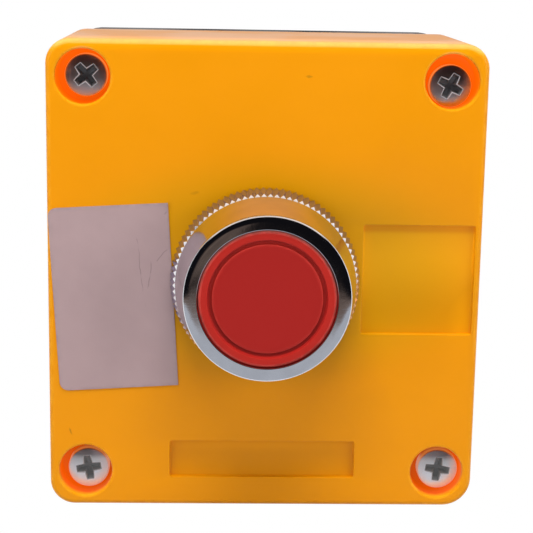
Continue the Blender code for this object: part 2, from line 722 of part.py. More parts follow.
def make_washer(parent, material):
    low = SEAT_GAP
    high = low + WASHER_THICKNESS
    washer = turned(
        "panel_washer",
        [(WASHER_INNER_RADIUS, high), (WASHER_OUTER_RADIUS, high), (WASHER_OUTER_RADIUS, low),
         (WASHER_INNER_RADIUS, low)],
        parent, PLAIN_STEPS, closed=True, location=(0.0, 0.0, FACE_Z), material=material,
    )
    smooth(washer)


def make_head_body(parent, material):
    groove_low = (WEB_REAR + WEB_FRONT) / 2.0 - SEAL_SECTION / 2.0 - SEAT_GAP
    groove_high = groove_low + SEAL_SECTION + 2.0 * SEAT_GAP
    groove_radius = STEM_BORE + SEAL_SECTION + SEAT_GAP
    rear = -SLEEVE_LENGTH_BEHIND
    body = turned(
        "head_body",
        [(CUP_RADIUS, NECK_FRONT), (SLEEVE_RADIUS, NECK_FRONT), (SLEEVE_RADIUS, rear), (CUP_RADIUS, rear),
         (CUP_RADIUS, WEB_REAR), (STEM_BORE, WEB_REAR), (STEM_BORE, groove_low),
         (groove_radius, groove_low), (groove_radius, groove_high), (STEM_BORE, groove_high),
         (STEM_BORE, WEB_FRONT), (CUP_RADIUS, WEB_FRONT)],
        parent, PLAIN_STEPS, closed=True, location=(0.0, 0.0, FACE_Z), material=material,
    )
    bite = SLEEVE_RADIUS - CUP_RADIUS
    root = SLEEVE_RADIUS - bite / 2.0
    for name, side in (("upper", 1.0), ("lower", -1.0)):
        near, far = sorted((side * root, side * LUG_REACH))
        lug = block(
            f"lug_{name}", (-LUG_WIDTH / 2.0, near, FACE_Z + rear),
            (LUG_WIDTH / 2.0, far, FACE_Z + rear + LUG_THICKNESS), parent,
        )
        combine(body, lug, "UNION")
    half_key = KEY_NOTCH_WIDTH / 2.0 - KEY_CLEARANCE
    key = block(
        "anti_turn_key", (-half_key, root, FACE_Z - LID_WALL + KEY_CLEARANCE),
        (half_key, KEY_NOTCH_REACH - KEY_CLEARANCE, FACE_Z - KEY_CLEARANCE), parent,
    )
    combine(body, key, "UNION")
    smooth(body)


def make_stem_seal(parent, material):
    low = (WEB_REAR + WEB_FRONT) / 2.0 - SEAL_SECTION / 2.0
    high = low + SEAL_SECTION
    inner = STEM_BORE
    outer = inner + SEAL_SECTION
    seal = turned(
        "stem_seal", [(inner, high), (outer, high), (outer, low), (inner, low)], parent, PLAIN_STEPS,
        closed=True, location=(0.0, 0.0, FACE_Z), material=material,
    )
    smooth(seal)


def make_push_cap(parent, material):
    skirt_end = CAP_FRONT - CAP_DEPTH
    disc = CAP_FRONT - CAP_DISC_SINK
    groove_floor = CAP_FRONT - CAP_GROOVE_DEPTH
    slope = 0.0002
    profile = [
        (0.0, disc),
        (CAP_GROOVE_INNER - slope, disc),
        (CAP_GROOVE_INNER, groove_floor),
        (CAP_GROOVE_OUTER - slope, groove_floor),
        (CAP_GROOVE_OUTER, CAP_FRONT),
    ]
    for step in range(5):
        angle = math.pi / 2.0 * step / 4.0
        profile.append((
            CAP_RADIUS - CAP_EDGE_ROUND + CAP_EDGE_ROUND * math.sin(angle),
            CAP_FRONT - CAP_EDGE_ROUND + CAP_EDGE_ROUND * math.cos(angle),
        ))
    profile += [
        (CAP_RADIUS, skirt_end),
        (CAP_RADIUS - CAP_SKIRT, skirt_end),
        (CAP_RADIUS - CAP_SKIRT, CAP_UNDERSIDE),
        (SPIGOT_RADIUS, CAP_UNDERSIDE),
        (SPIGOT_RADIUS, CAP_UNDERSIDE - SPIGOT_LENGTH),
        (0.0, CAP_UNDERSIDE - SPIGOT_LENGTH),
    ]
    cap = turned("push_cap", profile, parent, FINE_STEPS, location=(0.0, 0.0, FACE_Z), material=material)
    smooth(cap)


def make_pusher(parent, material):
    front = CAP_UNDERSIDE - SEAT_GAP
    bore = SPIGOT_RADIUS + SEAT_GAP
    flange_front = WEB_REAR - SEAT_GAP
    flange_rear = flange_front - STEM_FLANGE_THICKNESS
    rear = -STEM_REACH_BEHIND
    pusher = turned(
        "pusher",
        [(0.0, rear + STEM_END_WALL), (bore, rear + STEM_END_WALL), (bore, front), (STEM_RADIUS, front),
         (STEM_RADIUS, flange_front), (CUP_RADIUS - SEAT_GAP, flange_front),
         (CUP_RADIUS - SEAT_GAP, flange_rear), (STEM_TAIL_RADIUS, flange_rear), (STEM_TAIL_RADIUS, rear),
         (0.0, rear)],
        parent, PLAIN_STEPS, location=(0.0, 0.0, FACE_Z), material=material,
    )
    smooth(pusher)


def make_return_spring(parent, material):
    mean = (STEM_RADIUS + CUP_RADIUS) / 2.0
    coil(
        "return_spring", mean, RETURN_WIRE, FACE_Z + WEB_FRONT + SEAT_GAP, FACE_Z + CAP_UNDERSIDE - SEAT_GAP,
        RETURN_TURNS, parent, material,
    )


def make_collar(parent, material):
    rear = FACE_Z - COLLAR_REAR
    front = FACE_Z - COLLAR_FRONT
    collar = turned(
        "mounting_collar",
        [(0.0, front), (COLLAR_RADIUS, front), (COLLAR_RADIUS, rear), (0.0, rear)],
        parent, PLAIN_STEPS, material=material,
    )
    pad = block(
        "collar_pad", (-COLLAR_PAD_WIDTH / 2.0, -COLLAR_RADIUS, rear),
        (COLLAR_PAD_WIDTH / 2.0, COLLAR_RADIUS, front), parent,
    )
    combine(collar, pad, "UNION")
    ear_length = 2.0 * (COLLAR_SCREW_X + COLLAR_EAR_RADIUS)
    ears = plate(
        "collar_ears", [rounded_rectangle(ear_length, 2.0 * COLLAR_EAR_RADIUS, 0.999 * COLLAR_EAR_RADIUS)],
        rear + COLLAR_EAR_SINK, front - COLLAR_EAR_SINK, parent,
    )
    combine(collar, ears, "UNION")
    bore_radius = SLEEVE_RADIUS + SEAT_GAP
    bore = turned(
        "collar_bore",
        [(0.0, front + CUT_OVERRUN), (bore_radius, front + CUT_OVERRUN), (bore_radius, rear - CUT_OVERRUN),
         (0.0, rear - CUT_OVERRUN)],
        parent, PLAIN_STEPS,
    )
    combine(collar, bore)
    slot_reach = LUG_REACH + SEAT_GAP
    slot_half = LUG_WIDTH / 2.0 + SEAT_GAP
    slot = block(
        "bayonet_slot", (-slot_reach, -slot_half, rear - CUT_OVERRUN),
        (slot_reach, slot_half, front + CUT_OVERRUN), parent,
    )
    combine(collar, slot)
    barb_front = COLLAR_REAR - HOOK_REACH
    for name, side in (("upper", 1.0), ("lower", -1.0)):
        near, far = sorted((side * (COLLAR_RADIUS - HOOK_BARB - SEAT_GAP), side * (COLLAR_RADIUS + CUT_OVERRUN)))
        notch = block(
            f"hook_notch_{name}", (-COLLAR_PAD_WIDTH, near, FACE_Z - barb_front - HOOK_BARB - 2.0 * SEAT_GAP),
            (COLLAR_PAD_WIDTH, far, FACE_Z - barb_front + SEAT_GAP), parent,
        )
        combine(collar, notch)
    for side in (-1.0, 1.0):
        radius = COLLAR_SCREW_RADIUS + SCREW_CLEARANCE
        hole = turned(
            f"collar_screw_hole_{'left' if side < 0 else 'right'}",
            [(0.0, front + CUT_OVERRUN), (radius, front + CUT_OVERRUN), (radius, rear - CUT_OVERRUN),
             (0.0, rear - CUT_OVERRUN)],
            parent, SMALL_STEPS, location=(side * COLLAR_SCREW_X, 0.0, 0.0),
        )
        combine(collar, hole)
    smooth(collar)


def make_collar_screws(parent, material):
    seat = FACE_Z - COLLAR_REAR + COLLAR_EAR_SINK - SEAT_GAP
    tip = FACE_Z - LID_WALL - SEAT_GAP
    head = [(r, -h) for r, h in reversed(pan_head(COLLAR_SCREW_HEAD, COLLAR_SCREW_HEAD_HEIGHT))]
    shank = [(0.0, tip - seat), (COLLAR_SCREW_RADIUS, tip - seat), (COLLAR_SCREW_RADIUS, 0.0)]
    for number, side in enumerate((-1.0, 1.0), 1):
        screw = turned(
            f"collar_screw_{number}", shank + head, parent, SMALL_STEPS,
            location=(side * COLLAR_SCREW_X, 0.0, seat), material=material,
        )
        smooth(screw)


def depth(distance):
    """The place along Z of a distance counted backwards from the face of the lid."""
    return FACE_Z - distance


def block_half_outline():
    """The upper half of the contact block's side outline, from its back to its hook and its front."""
    hook_inner = COLLAR_RADIUS + SEAT_GAP
    hook_outer = hook_inner + HOOK_THICKNESS
    foot_front = COLLAR_REAR + SEAT_GAP
    foot_inner = hook_inner - FOOT_WIDTH
    barb_front = COLLAR_REAR - HOOK_REACH
    return [
        (depth(BLOCK_REAR), BLOCK_HALF_CORE),
        (depth(BLOCK_ARM_REAR), BLOCK_HALF_CORE),
        (depth(BLOCK_ARM_REAR), BLOCK_HALF_HEIGHT),
        (depth(BLOCK_FRONT + FOOT_WIDTH), BLOCK_HALF_HEIGHT),
        (depth(BLOCK_FRONT), hook_outer),
        (depth(barb_front - HOOK_BARB), hook_outer),
        (depth(barb_front - HOOK_BARB), hook_inner),
        (depth(barb_front), hook_inner),
        (depth(barb_front), hook_inner - HOOK_BARB),
        (depth(barb_front + HOOK_BARB), hook_inner - HOOK_BARB),
        (depth(barb_front + HOOK_BARB), hook_inner),
        (depth(foot_front), hook_inner),
        (depth(foot_front), foot_inner),
        (depth(BLOCK_FRONT), foot_inner),
    ]


def make_block(parent, housing_material, cover_material):
    housing = plate(
        "block_housing", [mirrored(block_half_outline())], -BLOCK_RIGHT, -BLOCK_BODY_LEFT, parent,
        rotation=SIDEWAYS, material=housing_material,
    )
    inner_front = BLOCK_FRONT + BLOCK_WALL
    inner_rear = BLOCK_REAR - BLOCK_WALL
    half_chamber = BLOCK_HALF_CORE - BLOCK_WALL
    left = BLOCK_LEFT - CUT_OVERRUN
    chamber = block(
        "block_chamber", (left, -half_chamber, depth(inner_rear)), (CHAMBER_RIGHT, half_chamber, depth(inner_front)),
        parent,
    )
    combine(housing, chamber, solver="MANIFOLD")
    neck = PLUNGER_HALF_NECK + SEAT_GAP
    mouth = block(
        "plunger_mouth", (left, -neck, depth(inner_front + CUT_OVERRUN)),
        (CHAMBER_RIGHT, neck, depth(BLOCK_FRONT - CUT_OVERRUN)), parent,
    )
    combine(housing, mouth, solver="MANIFOLD")
    half_strip = STRIP_THICKNESS / 2.0 + SEAT_GAP
    for name, side in (("upper", 1.0), ("lower", -1.0)):
        near, far = sorted((side * (half_chamber - CUT_OVERRUN), side * (STRIP_BEND_Y + half_strip)))
        channel = block(
            f"strip_channel_{name}", (left, near, depth(STRIP_REAR + SEAT_GAP)),
            (CHAMBER_RIGHT, far, depth(STRIP_FRONT - SEAT_GAP)), parent,
        )
        combine(housing, channel, solver="MANIFOLD")
        near, far = sorted((side * (STRIP_BEND_Y - half_strip), side * (STRIP_BEND_Y + half_strip)))
        drop = block(
            f"strip_drop_{name}", (left, near, depth(BLOCK_ARM_REAR + CUT_OVERRUN)),
            (CHAMBER_RIGHT, far, depth(STRIP_FRONT)), parent,
        )
        combine(housing, drop, solver="MANIFOLD")
        radius = TERMINAL_SCREW_RADIUS + SCREW_CLEARANCE
        bottom = BLOCK_ARM_REAR - TERMINAL_SCREW_LENGTH
        pilot = turned(
            f"terminal_pilot_{name}",
            [(0.0, depth(bottom)), (radius, depth(bottom)), (radius, depth(BLOCK_ARM_REAR + CUT_OVERRUN)),
             (0.0, depth(BLOCK_ARM_REAR + CUT_OVERRUN))],
            parent, SMALL_STEPS, location=((BLOCK_BODY_LEFT + BLOCK_RIGHT) / 2.0, side * TERMINAL_SCREW_Y, 0.0),
        )
        combine(housing, pilot, solver="MANIFOLD")
    cover = plate(
        "block_cover",
        [mirrored([
            (depth(BLOCK_REAR), BLOCK_HALF_CORE),
            (depth(BLOCK_ARM_REAR), BLOCK_HALF_CORE),
            (depth(BLOCK_ARM_REAR), BLOCK_HALF_HEIGHT),
            (depth(BLOCK_FRONT + FOOT_WIDTH), BLOCK_HALF_HEIGHT),
            (depth(BLOCK_FRONT), BLOCK_HALF_HEIGHT - FOOT_WIDTH),
        ])],
        -(BLOCK_LEFT + COVER_THICKNESS), -BLOCK_LEFT, parent, rotation=SIDEWAYS, material=cover_material,
    )
    for name, side in (("upper", 1.0), ("lower", -1.0)):
        place = (0.0, side * COVER_PEG_Y, depth(BLOCK_FRONT + COVER_PEG_FROM_FRONT))
        start = BLOCK_LEFT + COVER_THICKNESS / 2.0
        end = BLOCK_LEFT + COVER_THICKNESS + COVER_PEG_LENGTH
        peg = turned(
            f"cover_peg_{name}",
            [(0.0, end), (COVER_PEG_RADIUS, end), (COVER_PEG_RADIUS, start), (0.0, start)],
            parent, SMALL_STEPS, location=place, rotation=(0.0, math.pi / 2.0, 0.0),
        )
        combine(cover, peg, "UNION")
        hole_radius = COVER_PEG_RADIUS + SEAT_GAP
        hole = turned(
            f"peg_hole_{name}",
            [(0.0, end + SEAT_GAP), (hole_radius, end + SEAT_GAP), (hole_radius, BLOCK_LEFT), (0.0, BLOCK_LEFT)],
            parent, SMALL_STEPS, location=place, rotation=(0.0, math.pi / 2.0, 0.0),
        )
        combine(housing, hole, solver="MANIFOLD")


def make_terminals(parent, strip_material, screw_material):
    centre_x = (BLOCK_BODY_LEFT + CHAMBER_RIGHT) / 2.0
    low_x = -(centre_x + STRIP_WIDTH / 2.0)
    high_x = -(centre_x - STRIP_WIDTH / 2.0)
    half = STRIP_THICKNESS / 2.0
    screw_x = (BLOCK_BODY_LEFT + BLOCK_RIGHT) / 2.0
    seat_front = BLOCK_ARM_REAR + SEAT_GAP
    for name, side in (("upper", 1.0), ("lower", -1.0)):
        outline = [
            (depth(STRIP_FRONT), side * STRIP_INNER_END),
            (depth(STRIP_REAR), side * STRIP_INNER_END),
            (depth(STRIP_REAR), side * (STRIP_BEND_Y - half)),
            (depth(SEAT_STRIP_REAR), side * (STRIP_BEND_Y - half)),
            (depth(SEAT_STRIP_REAR), side * (BLOCK_HALF_HEIGHT - SEAT_GAP)),
            (depth(seat_front), side * (BLOCK_HALF_HEIGHT - SEAT_GAP)),
            (depth(seat_front), side * (STRIP_BEND_Y + half)),
            (depth(STRIP_FRONT), side * (STRIP_BEND_Y + half)),
        ]
        strip = plate(
            f"terminal_{name}", [outline], low_x, high_x, parent, rotation=SIDEWAYS, material=strip_material
        )
        tip = turned(
            f"fixed_tip_{name}",
            [(0.0, depth(STRIP_REAR - half)), (TIP_RADIUS, depth(STRIP_REAR - half)),
             (TIP_RADIUS, depth(STRIP_REAR + TIP_HEIGHT)), (0.0, depth(STRIP_REAR + TIP_HEIGHT))],
            parent, SMALL_STEPS, location=(centre_x, side * TIP_Y, 0.0),
        )
        combine(strip, tip, "UNION")
        radius = TERMINAL_SCREW_RADIUS + SCREW_CLEARANCE
        hole = turned(
            f"strip_hole_{name}",
            [(0.0, depth(seat_front - CUT_OVERRUN)), (radius, depth(seat_front - CUT_OVERRUN)),
             (radius, depth(SEAT_STRIP_REAR + CUT_OVERRUN)), (0.0, depth(SEAT_STRIP_REAR + CUT_OVERRUN))],
            parent, SMALL_STEPS, location=(screw_x, side * TERMINAL_SCREW_Y, 0.0),
        )
        combine(strip, hole)
        clamp_front = SEAT_STRIP_REAR + SEAT_GAP
        clamp_rear = clamp_front + CLAMP_THICKNESS
        clamp = block(
            f"wire_clamp_{name}",
            (screw_x - CLAMP_HALF_SIZE, side * TERMINAL_SCREW_Y - CLAMP_HALF_SIZE, depth(clamp_rear)),
            (screw_x + CLAMP_HALF_SIZE, side * TERMINAL_SCREW_Y + CLAMP_HALF_SIZE, depth(clamp_front)),
            parent, material=screw_material,
        )
        clamp_hole = turned(
            f"clamp_hole_{name}",
            [(0.0, depth(clamp_front - CUT_OVERRUN)), (radius, depth(clamp_front - CUT_OVERRUN)),
             (radius, depth(clamp_rear + CUT_OVERRUN)), (0.0, depth(clamp_rear + CUT_OVERRUN))],
            parent, SMALL_STEPS, location=(screw_x, side * TERMINAL_SCREW_Y, 0.0),
        )
        combine(clamp, clamp_hole)
        head_seat = clamp_rear + SEAT_GAP
        shank_end = head_seat - TERMINAL_SCREW_LENGTH
        head = [(r, -h) for r, h in reversed(pan_head(TERMINAL_SCREW_HEAD, TERMINAL_SCREW_HEAD_HEIGHT))]
        reach = head_seat - shank_end
        shank = [(0.0, reach), (TERMINAL_SCREW_RADIUS, reach), (TERMINAL_SCREW_RADIUS, 0.0)]
        screw = turned(
            f"terminal_screw_{name}", shank + head, parent, SMALL_STEPS,
            location=(screw_x, side * TERMINAL_SCREW_Y, depth(head_seat)), material=screw_material,
        )
        smooth(screw)


def make_plunger(parent, material):
    centre_x = (BLOCK_BODY_LEFT + CHAMBER_RIGHT) / 2.0
    half_width = (CHAMBER_RIGHT - BLOCK_BODY_LEFT) / 2.0 - SEAT_GAP
    half_outline = [
        (depth(PLUNGER_REAR), PLUNGER_HALF_BODY),
        (depth(PLUNGER_SHOULDER), PLUNGER_HALF_BODY),
        (depth(PLUNGER_SHOULDER), PLUNGER_HALF_NECK),
        (depth(PLUNGER_TIP), PLUNGER_HALF_NECK),
    ]
    plunger = plate(
        "contact_plunger", [mirrored(half_outline)], -(centre_x + half_width), -(centre_x - half_width),
        parent, rotation=SIDEWAYS, material=material,
    )
    window_half = half_width - PLUNGER_RAIL
    window = block(
        "bridge_window", (centre_x - window_half, -2.0 * PLUNGER_HALF_BODY, depth(WINDOW_REAR)),
        (centre_x + window_half, 2.0 * PLUNGER_HALF_BODY, depth(WINDOW_FRONT)), parent,
    )
    combine(plunger, window)


def make_bridge(parent, material):
    centre_x = (BLOCK_BODY_LEFT + CHAMBER_RIGHT) / 2.0
    bridge = block(
        "bridge_contact", (centre_x - BRIDGE_WIDTH / 2.0, -BRIDGE_HALF_LENGTH, depth(BRIDGE_REAR)),
        (centre_x + BRIDGE_WIDTH / 2.0, BRIDGE_HALF_LENGTH, depth(BRIDGE_FRONT)), parent, material=material,
    )
    for name, side in (("upper", 1.0), ("lower", -1.0)):
        tip = turned(
            f"moving_tip_{name}",
            [(0.0, depth(BRIDGE_FRONT - TIP_HEIGHT)), (TIP_RADIUS, depth(BRIDGE_FRONT - TIP_HEIGHT)),
             (TIP_RADIUS, depth(BRIDGE_REAR - STRIP_THICKNESS / 2.0)),
             (0.0, depth(BRIDGE_REAR - STRIP_THICKNESS / 2.0))],
            parent, SMALL_STEPS, location=(centre_x, side * TIP_Y, 0.0),
        )
        combine(bridge, tip, "UNION")


def make_block_springs(fixed_parent, moving_parent, material):
    coil(
        "bridge_spring", BRIDGE_SPRING_RADIUS, SMALL_WIRE, depth(WINDOW_REAR - SEAT_GAP),
        depth(BRIDGE_REAR + SEAT_GAP), BRIDGE_SPRING_TURNS, moving_parent, material,
    )
    coil(
        "block_spring", BLOCK_SPRING_RADIUS, SMALL_WIRE, depth(BLOCK_REAR - BLOCK_WALL - SEAT_GAP),
        depth(PLUNGER_REAR + SEAT_GAP), BLOCK_SPRING_TURNS, fixed_parent, material,
    )


clear_scene()
PARTS = new_collection("push_button_box")
CUTTERS = new_collection("cutters")

YELLOW = new_material("yellow_plastic", (0.95, 0.42, 0.02), 0.38, 0.0)
DARK = new_material("dark_plastic", (0.03, 0.03, 0.032), 0.5, 0.0)
RUBBER = new_material("black_rubber", (0.02, 0.02, 0.02), 0.8, 0.0)
CHROME = new_material("chrome", (0.78, 0.79, 0.81), 0.12, 1.0)
STEEL = new_material("zinc_steel", (0.62, 0.62, 0.6), 0.32, 1.0)
DIE_CAST = new_material("die_cast_zinc", (0.5, 0.51, 0.52), 0.45, 1.0)
RED = new_material("red_plastic", (0.6, 0.02, 0.015), 0.35, 0.0)
BLACK = new_material("black_plastic", (0.02, 0.02, 0.022), 0.45, 0.0)
BLOCK_RED = new_material("block_red_plastic", (0.45, 0.03, 0.02), 0.5, 0.0)
BRASS = new_material("brass", (0.78, 0.58, 0.25), 0.3, 1.0)

BOX_AXES = new_empty("box_axes", rotation=(math.pi / 2.0, 0.0, 0.0))
BUTTON_AXIS = new_empty("button_axis", parent=BOX_AXES)
CONTACT_AXIS = new_empty("contact_axis", parent=BOX_AXES)

make_lid(BOX_AXES, YELLOW)
make_base(BOX_AXES, DARK)
make_gasket(BOX_AXES, RUBBER)
make_lid_screws(BOX_AXES, STEEL)
make_bezel(BOX_AXES, CHROME)
make_washer(BOX_AXES, RUBBER)
make_head_body(BOX_AXES, DIE_CAST)
make_stem_seal(BOX_AXES, RUBBER)
make_push_cap(BUTTON_AXIS, RED)
make_pusher(BUTTON_AXIS, BLACK)
make_return_spring(BOX_AXES, STEEL)
make_collar(BOX_AXES, DIE_CAST)
make_collar_screws(BOX_AXES, STEEL)
make_block(BOX_AXES, BLACK, BLOCK_RED)
make_terminals(BOX_AXES, BRASS, STEEL)
make_plunger(CONTACT_AXIS, BLOCK_RED)
make_bridge(CONTACT_AXIS, BRASS)
make_block_springs(BOX_AXES, CONTACT_AXIS, STEEL)
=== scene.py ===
"""Looks of a wall box with one flush push-button.

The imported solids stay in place. Finer pieces stand for those that show, and every other solid gets the
finish of its own material. Pieces are drawn in the axes of the box, X to the right, Y up and Z out of
the wall, and are then stood up in the world, where the wall is the plane Y = 0 and the lid looks along
-Y. Sizes are in metres.
"""

import json
import math

import bmesh
import bpy
from bpy.props import FloatProperty, FloatVectorProperty, IntProperty, PointerProperty
from mathutils import Matrix, Vector


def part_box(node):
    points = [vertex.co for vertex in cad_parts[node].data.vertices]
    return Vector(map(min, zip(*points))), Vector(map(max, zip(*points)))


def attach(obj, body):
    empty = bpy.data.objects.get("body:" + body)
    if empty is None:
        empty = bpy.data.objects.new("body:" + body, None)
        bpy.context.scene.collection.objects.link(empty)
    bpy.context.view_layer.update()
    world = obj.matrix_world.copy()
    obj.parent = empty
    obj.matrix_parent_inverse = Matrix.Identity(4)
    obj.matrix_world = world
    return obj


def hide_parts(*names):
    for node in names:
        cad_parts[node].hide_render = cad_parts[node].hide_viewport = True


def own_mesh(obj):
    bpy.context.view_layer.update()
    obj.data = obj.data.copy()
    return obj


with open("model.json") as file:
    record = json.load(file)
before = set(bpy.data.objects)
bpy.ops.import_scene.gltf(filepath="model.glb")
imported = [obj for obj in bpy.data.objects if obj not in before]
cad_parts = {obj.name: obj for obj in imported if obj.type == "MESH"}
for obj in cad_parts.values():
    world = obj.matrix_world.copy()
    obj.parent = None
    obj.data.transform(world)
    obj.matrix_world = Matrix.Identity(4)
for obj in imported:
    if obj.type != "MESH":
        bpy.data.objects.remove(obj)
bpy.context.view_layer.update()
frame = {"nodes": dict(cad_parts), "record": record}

bl_info = {
    "name": "Wall Box With Push-Button",
    "version": (1, 0, 0),
    "blender": (4, 5, 0),
    "location": "3D View > Sidebar > Control Box",
    "description": "Finer pieces and finishes for a wall box with one flush push-button",
    "category": "Object",
}

LID_LOW, LID_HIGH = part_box("lid")
BEZEL_LOW, BEZEL_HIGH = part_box("bezel_ring")
CAP_LOW, CAP_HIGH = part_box("push_cap")
SCREW_LOW, SCREW_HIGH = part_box("lid_screw_2")

FACE_Z = -LID_LOW.y
RIM_Z = -LID_HIGH.y
STAND = Matrix(((1, 0, 0, 0), (0, 0, -1, 0), (0, 1, 0, 0), (0, 0, 0, 1)))

QUARTER = math.pi / 2.0
FINE_TURN = 144
SCREW_TURN = 48
WELL_TURN = 64
CORNER_STEPS = 14
ROUND_STEPS = 8
SCREW_X = (SCREW_LOW.x + SCREW_HIGH.x) / 2.0
SCREW_UP = (SCREW_LOW.z + SCREW_HIGH.z) / 2.0
MERGE = 0.000002
BLACK = (0.0, 0.0, 0.0, 1.0)
WHITE = (1.0, 1.0, 1.0, 1.0)


def shade(red, green, blue):
    """A colour as it reads in a picture, 0 to 255, as the linear colour that renders so."""
    linear = []
    for level in (red, green, blue):
        share = level / 255.0
        linear.append(share / 12.92 if share <= 0.04045 else ((share + 0.055) / 1.055) ** 2.4)
    return (*linear, 1.0)


def length(name, description, default):
    return FloatProperty(
        name=name, description=description, default=default, unit="LENGTH", subtype="DISTANCE",
        precision=5,
    )


def colour(name, description, default):
    return FloatVectorProperty(
        name=name, description=description, default=default, size=4, min=0.0, max=1.0, subtype="COLOR",
    )


def angle(name, description, degrees):
    return FloatProperty(
        name=name, description=description, default=math.radians(degrees), unit="ROTATION",
        subtype="ANGLE",
    )


class LidSizes(bpy.types.PropertyGroup):
    """Sizes and colours of the moulded lid."""
    draft: length("Draft", "How much each side leans out from the face to the rim", 0.0005)
    top_sink: length("Top sink", "How much less the top side leans out than the others", 0.00022)
    wall: length("Wall", "Thickness of the walls", 0.0024)
    corner: length("Corner radius", "Radius of the upright corners at the face", 0.0040)
    corner_low: length("Low right corner radius", "Radius of the low right corner at the face", 0.0046)
    edge_round: length("Edge round", "Radius between the face and the sides", 0.0009)
    well_radius: length("Well radius", "Radius of the wells for the screw heads", 0.0043)
    well_depth: length("Well depth", "Depth of the wells for the screw heads", 0.0046)
    recess_depth: length("Recess depth", "Depth of the two label recesses", 0.0008)
    lip: length("Lip", "Softened rim of the wells", 0.00035)
    yellow: colour("Yellow", "Colour of the lid", shade(245, 156, 0))
    # Painted shade: the lid is drawn darker in an oval round the ring nut
    yellow_painted_shade: colour("Shaded yellow", "Colour of the lid round the ring nut", shade(222, 154, 0))
    edge_light: colour("Edge light", "Light that the top edge catches", shade(126, 122, 104))
    glow_low: colour("Dim glow", "Light through the walls of the lower wells", shade(172, 66, 0))
    thin_light: colour("Thin wall light", "Light that comes through the recesses", shade(104, 76, 0))
    glow_high: colour("Bright glow", "Light through the walls of the upper wells", shade(253, 94, 2))
    # Painted shade on the walls of the wells, under their painted glow
    well_shade: colour("Well shade", "Colour of the walls of the wells", shade(120, 40, 0))
    band_shade: colour("Band shade", "What the square recess keeps at its top", (0.95, 0.76, 0.3, 1.0))
    recess_shade: colour("Recess shade", "What unlit recesses keep", (0.87, 0.87, 0.87, 1.0))
    scuff: colour("Scuff", "Colour of the small dark marks", shade(150, 92, 22))


class BaseSizes(bpy.types.PropertyGroup):
    """Size and colour of the tray on the wall."""
    top_sink: length("Top sink", "How much lower the top side lies than in the solid", 0.00022)
    black: colour("Black", "Colour of the tray", shade(30, 30, 32))


class BezelSizes(bpy.types.PropertyGroup):
    """Sizes and colours of the ring nut round the button."""
    teeth: IntProperty(name="Teeth", description="Ridges round the foot", default=90, min=12, max=240)
    tooth_depth: length("Tooth depth", "Height of the ridges", 0.00042)
    foot_radius: length("Foot radius", "Radius over the ridges at the lid", 0.0152)
    shoulder_radius: length("Shoulder radius", "Radius of the cone where the ridges end", 0.01426)
    tooth_slope: length("Tooth slope", "Height of the slanting end of each ridge", 0.00054)
    shoulder: length("Shoulder", "Height of the ridged foot", 0.0046)
    neck_radius: length("Neck radius", "Radius of the cone under the front ring", 0.0124)
    ring_radius: length("Ring radius", "Outer radius of the front ring", 0.0128)
    ring_width: length("Ring width", "Height of the front ring, from the neck to its face", 0.0018)
    ring_bevel: length("Ring bevel", "Width of the bevel round the front ring", 0.0001)
    bore: length("Bore", "Inner radius of the ring", 0.0107)
    chrome: colour("Chrome", "Colour of the plated metal", shade(224, 227, 232))
    haze: colour("Haze", "Dull light on the cone", shade(42, 41, 64))
    ridge_light: colour("Ridge light", "Light that the ends of the ridges catch", shade(150, 134, 122))
    ridge_haze: colour("Ridge haze", "Light between the ridges", shade(22, 22, 54))
    ridge_shade: colour("Ridge shade", "How much the ridges keep of the chrome", shade(206, 210, 216))


class CapSizes(bpy.types.PropertyGroup):
    """Sizes and colours of the push cap."""
    groove_outer: length("Groove outer radius", "Outer radius of the ring groove", 0.0091)
    groove_inner: length("Groove inner radius", "Inner radius of the ring groove", 0.00845)
    groove_depth: length("Groove depth", "Depth of the ring groove", 0.0005)
    disc_sink: length("Disc sink", "How far the disc lies behind the rim", 0.0003)
    edge_round: length("Edge round", "Radius of the outer edge", 0.0005)
    red: colour("Red", "Colour of the rim", shade(190, 38, 29))
    red_disc: colour("Disc red", "Colour of the disc", shade(170, 30, 25))
    travel: length("Travel", "How far the button goes in", 0.004)
    edge_light: colour("Edge light", "Light that the rounded edges catch", shade(96, 64, 58))
    groove_shade: colour("Groove shade", "How much the groove keeps of the red", shade(190, 150, 150))
    skirt: colour("Skirt glow", "Light through the skirt into the gap round it", shade(104, 12, 10))


class ScrewSizes(bpy.types.PropertyGroup):
    """Sizes, turns and colours of the four lid screws."""
    head_radius: length("Head radius", "Radius of the pan head", 0.00336)
    head_height: length("Head height", "Height of the pan head", 0.0022)
    shank_radius: length("Shank radius", "Radius over the thread", 0.00175)
    crown: length("Crown", "How far the crown falls from its middle to its edge", 0.00026)
    edge_round: length("Edge round", "Radius of the edge of the head", 0.00022)
    cross_reach: length("Cross reach", "Reach of each arm of the cross", 0.0020)
    cross_width: length("Cross width", "Width of each arm of the cross", 0.00106)
    cross_depth: length("Cross depth", "Depth of the cross", 0.0013)
    cross_bevel: length("Cross bevel", "Width of the bevel round the cross", 0.0001)
    turn_top_left: angle("Top left turn", "Turn of the top left screw", 40.0)
    turn_top_right: angle("Top right turn", "Turn of the top right screw", -28.0)
    turn_low_left: angle("Bottom left turn", "Turn of the bottom left screw", 9.0)
    turn_low_right: angle("Bottom right turn", "Turn of the bottom right screw", -8.0)
    zinc: colour("Zinc", "Colour of the plated steel", shade(236, 235, 240))
    # Painted shade inside the crosses of the screw heads
    cross_shade: colour("Cross shade", "Colour inside the cross", shade(112, 114, 118))
    low_light: colour("Low light", "Light on the heads of the lower screws", shade(112, 114, 114))
    cross_haze: colour("Cross haze", "Light in the crosses of the lower screws", shade(58, 58, 57))
    rim_light: colour("Rim light", "Light that the rim of the head catches", shade(150, 146, 84))
    cross_light: colour("Cross light", "Light that the edge of the cross catches", shade(150, 150, 152))


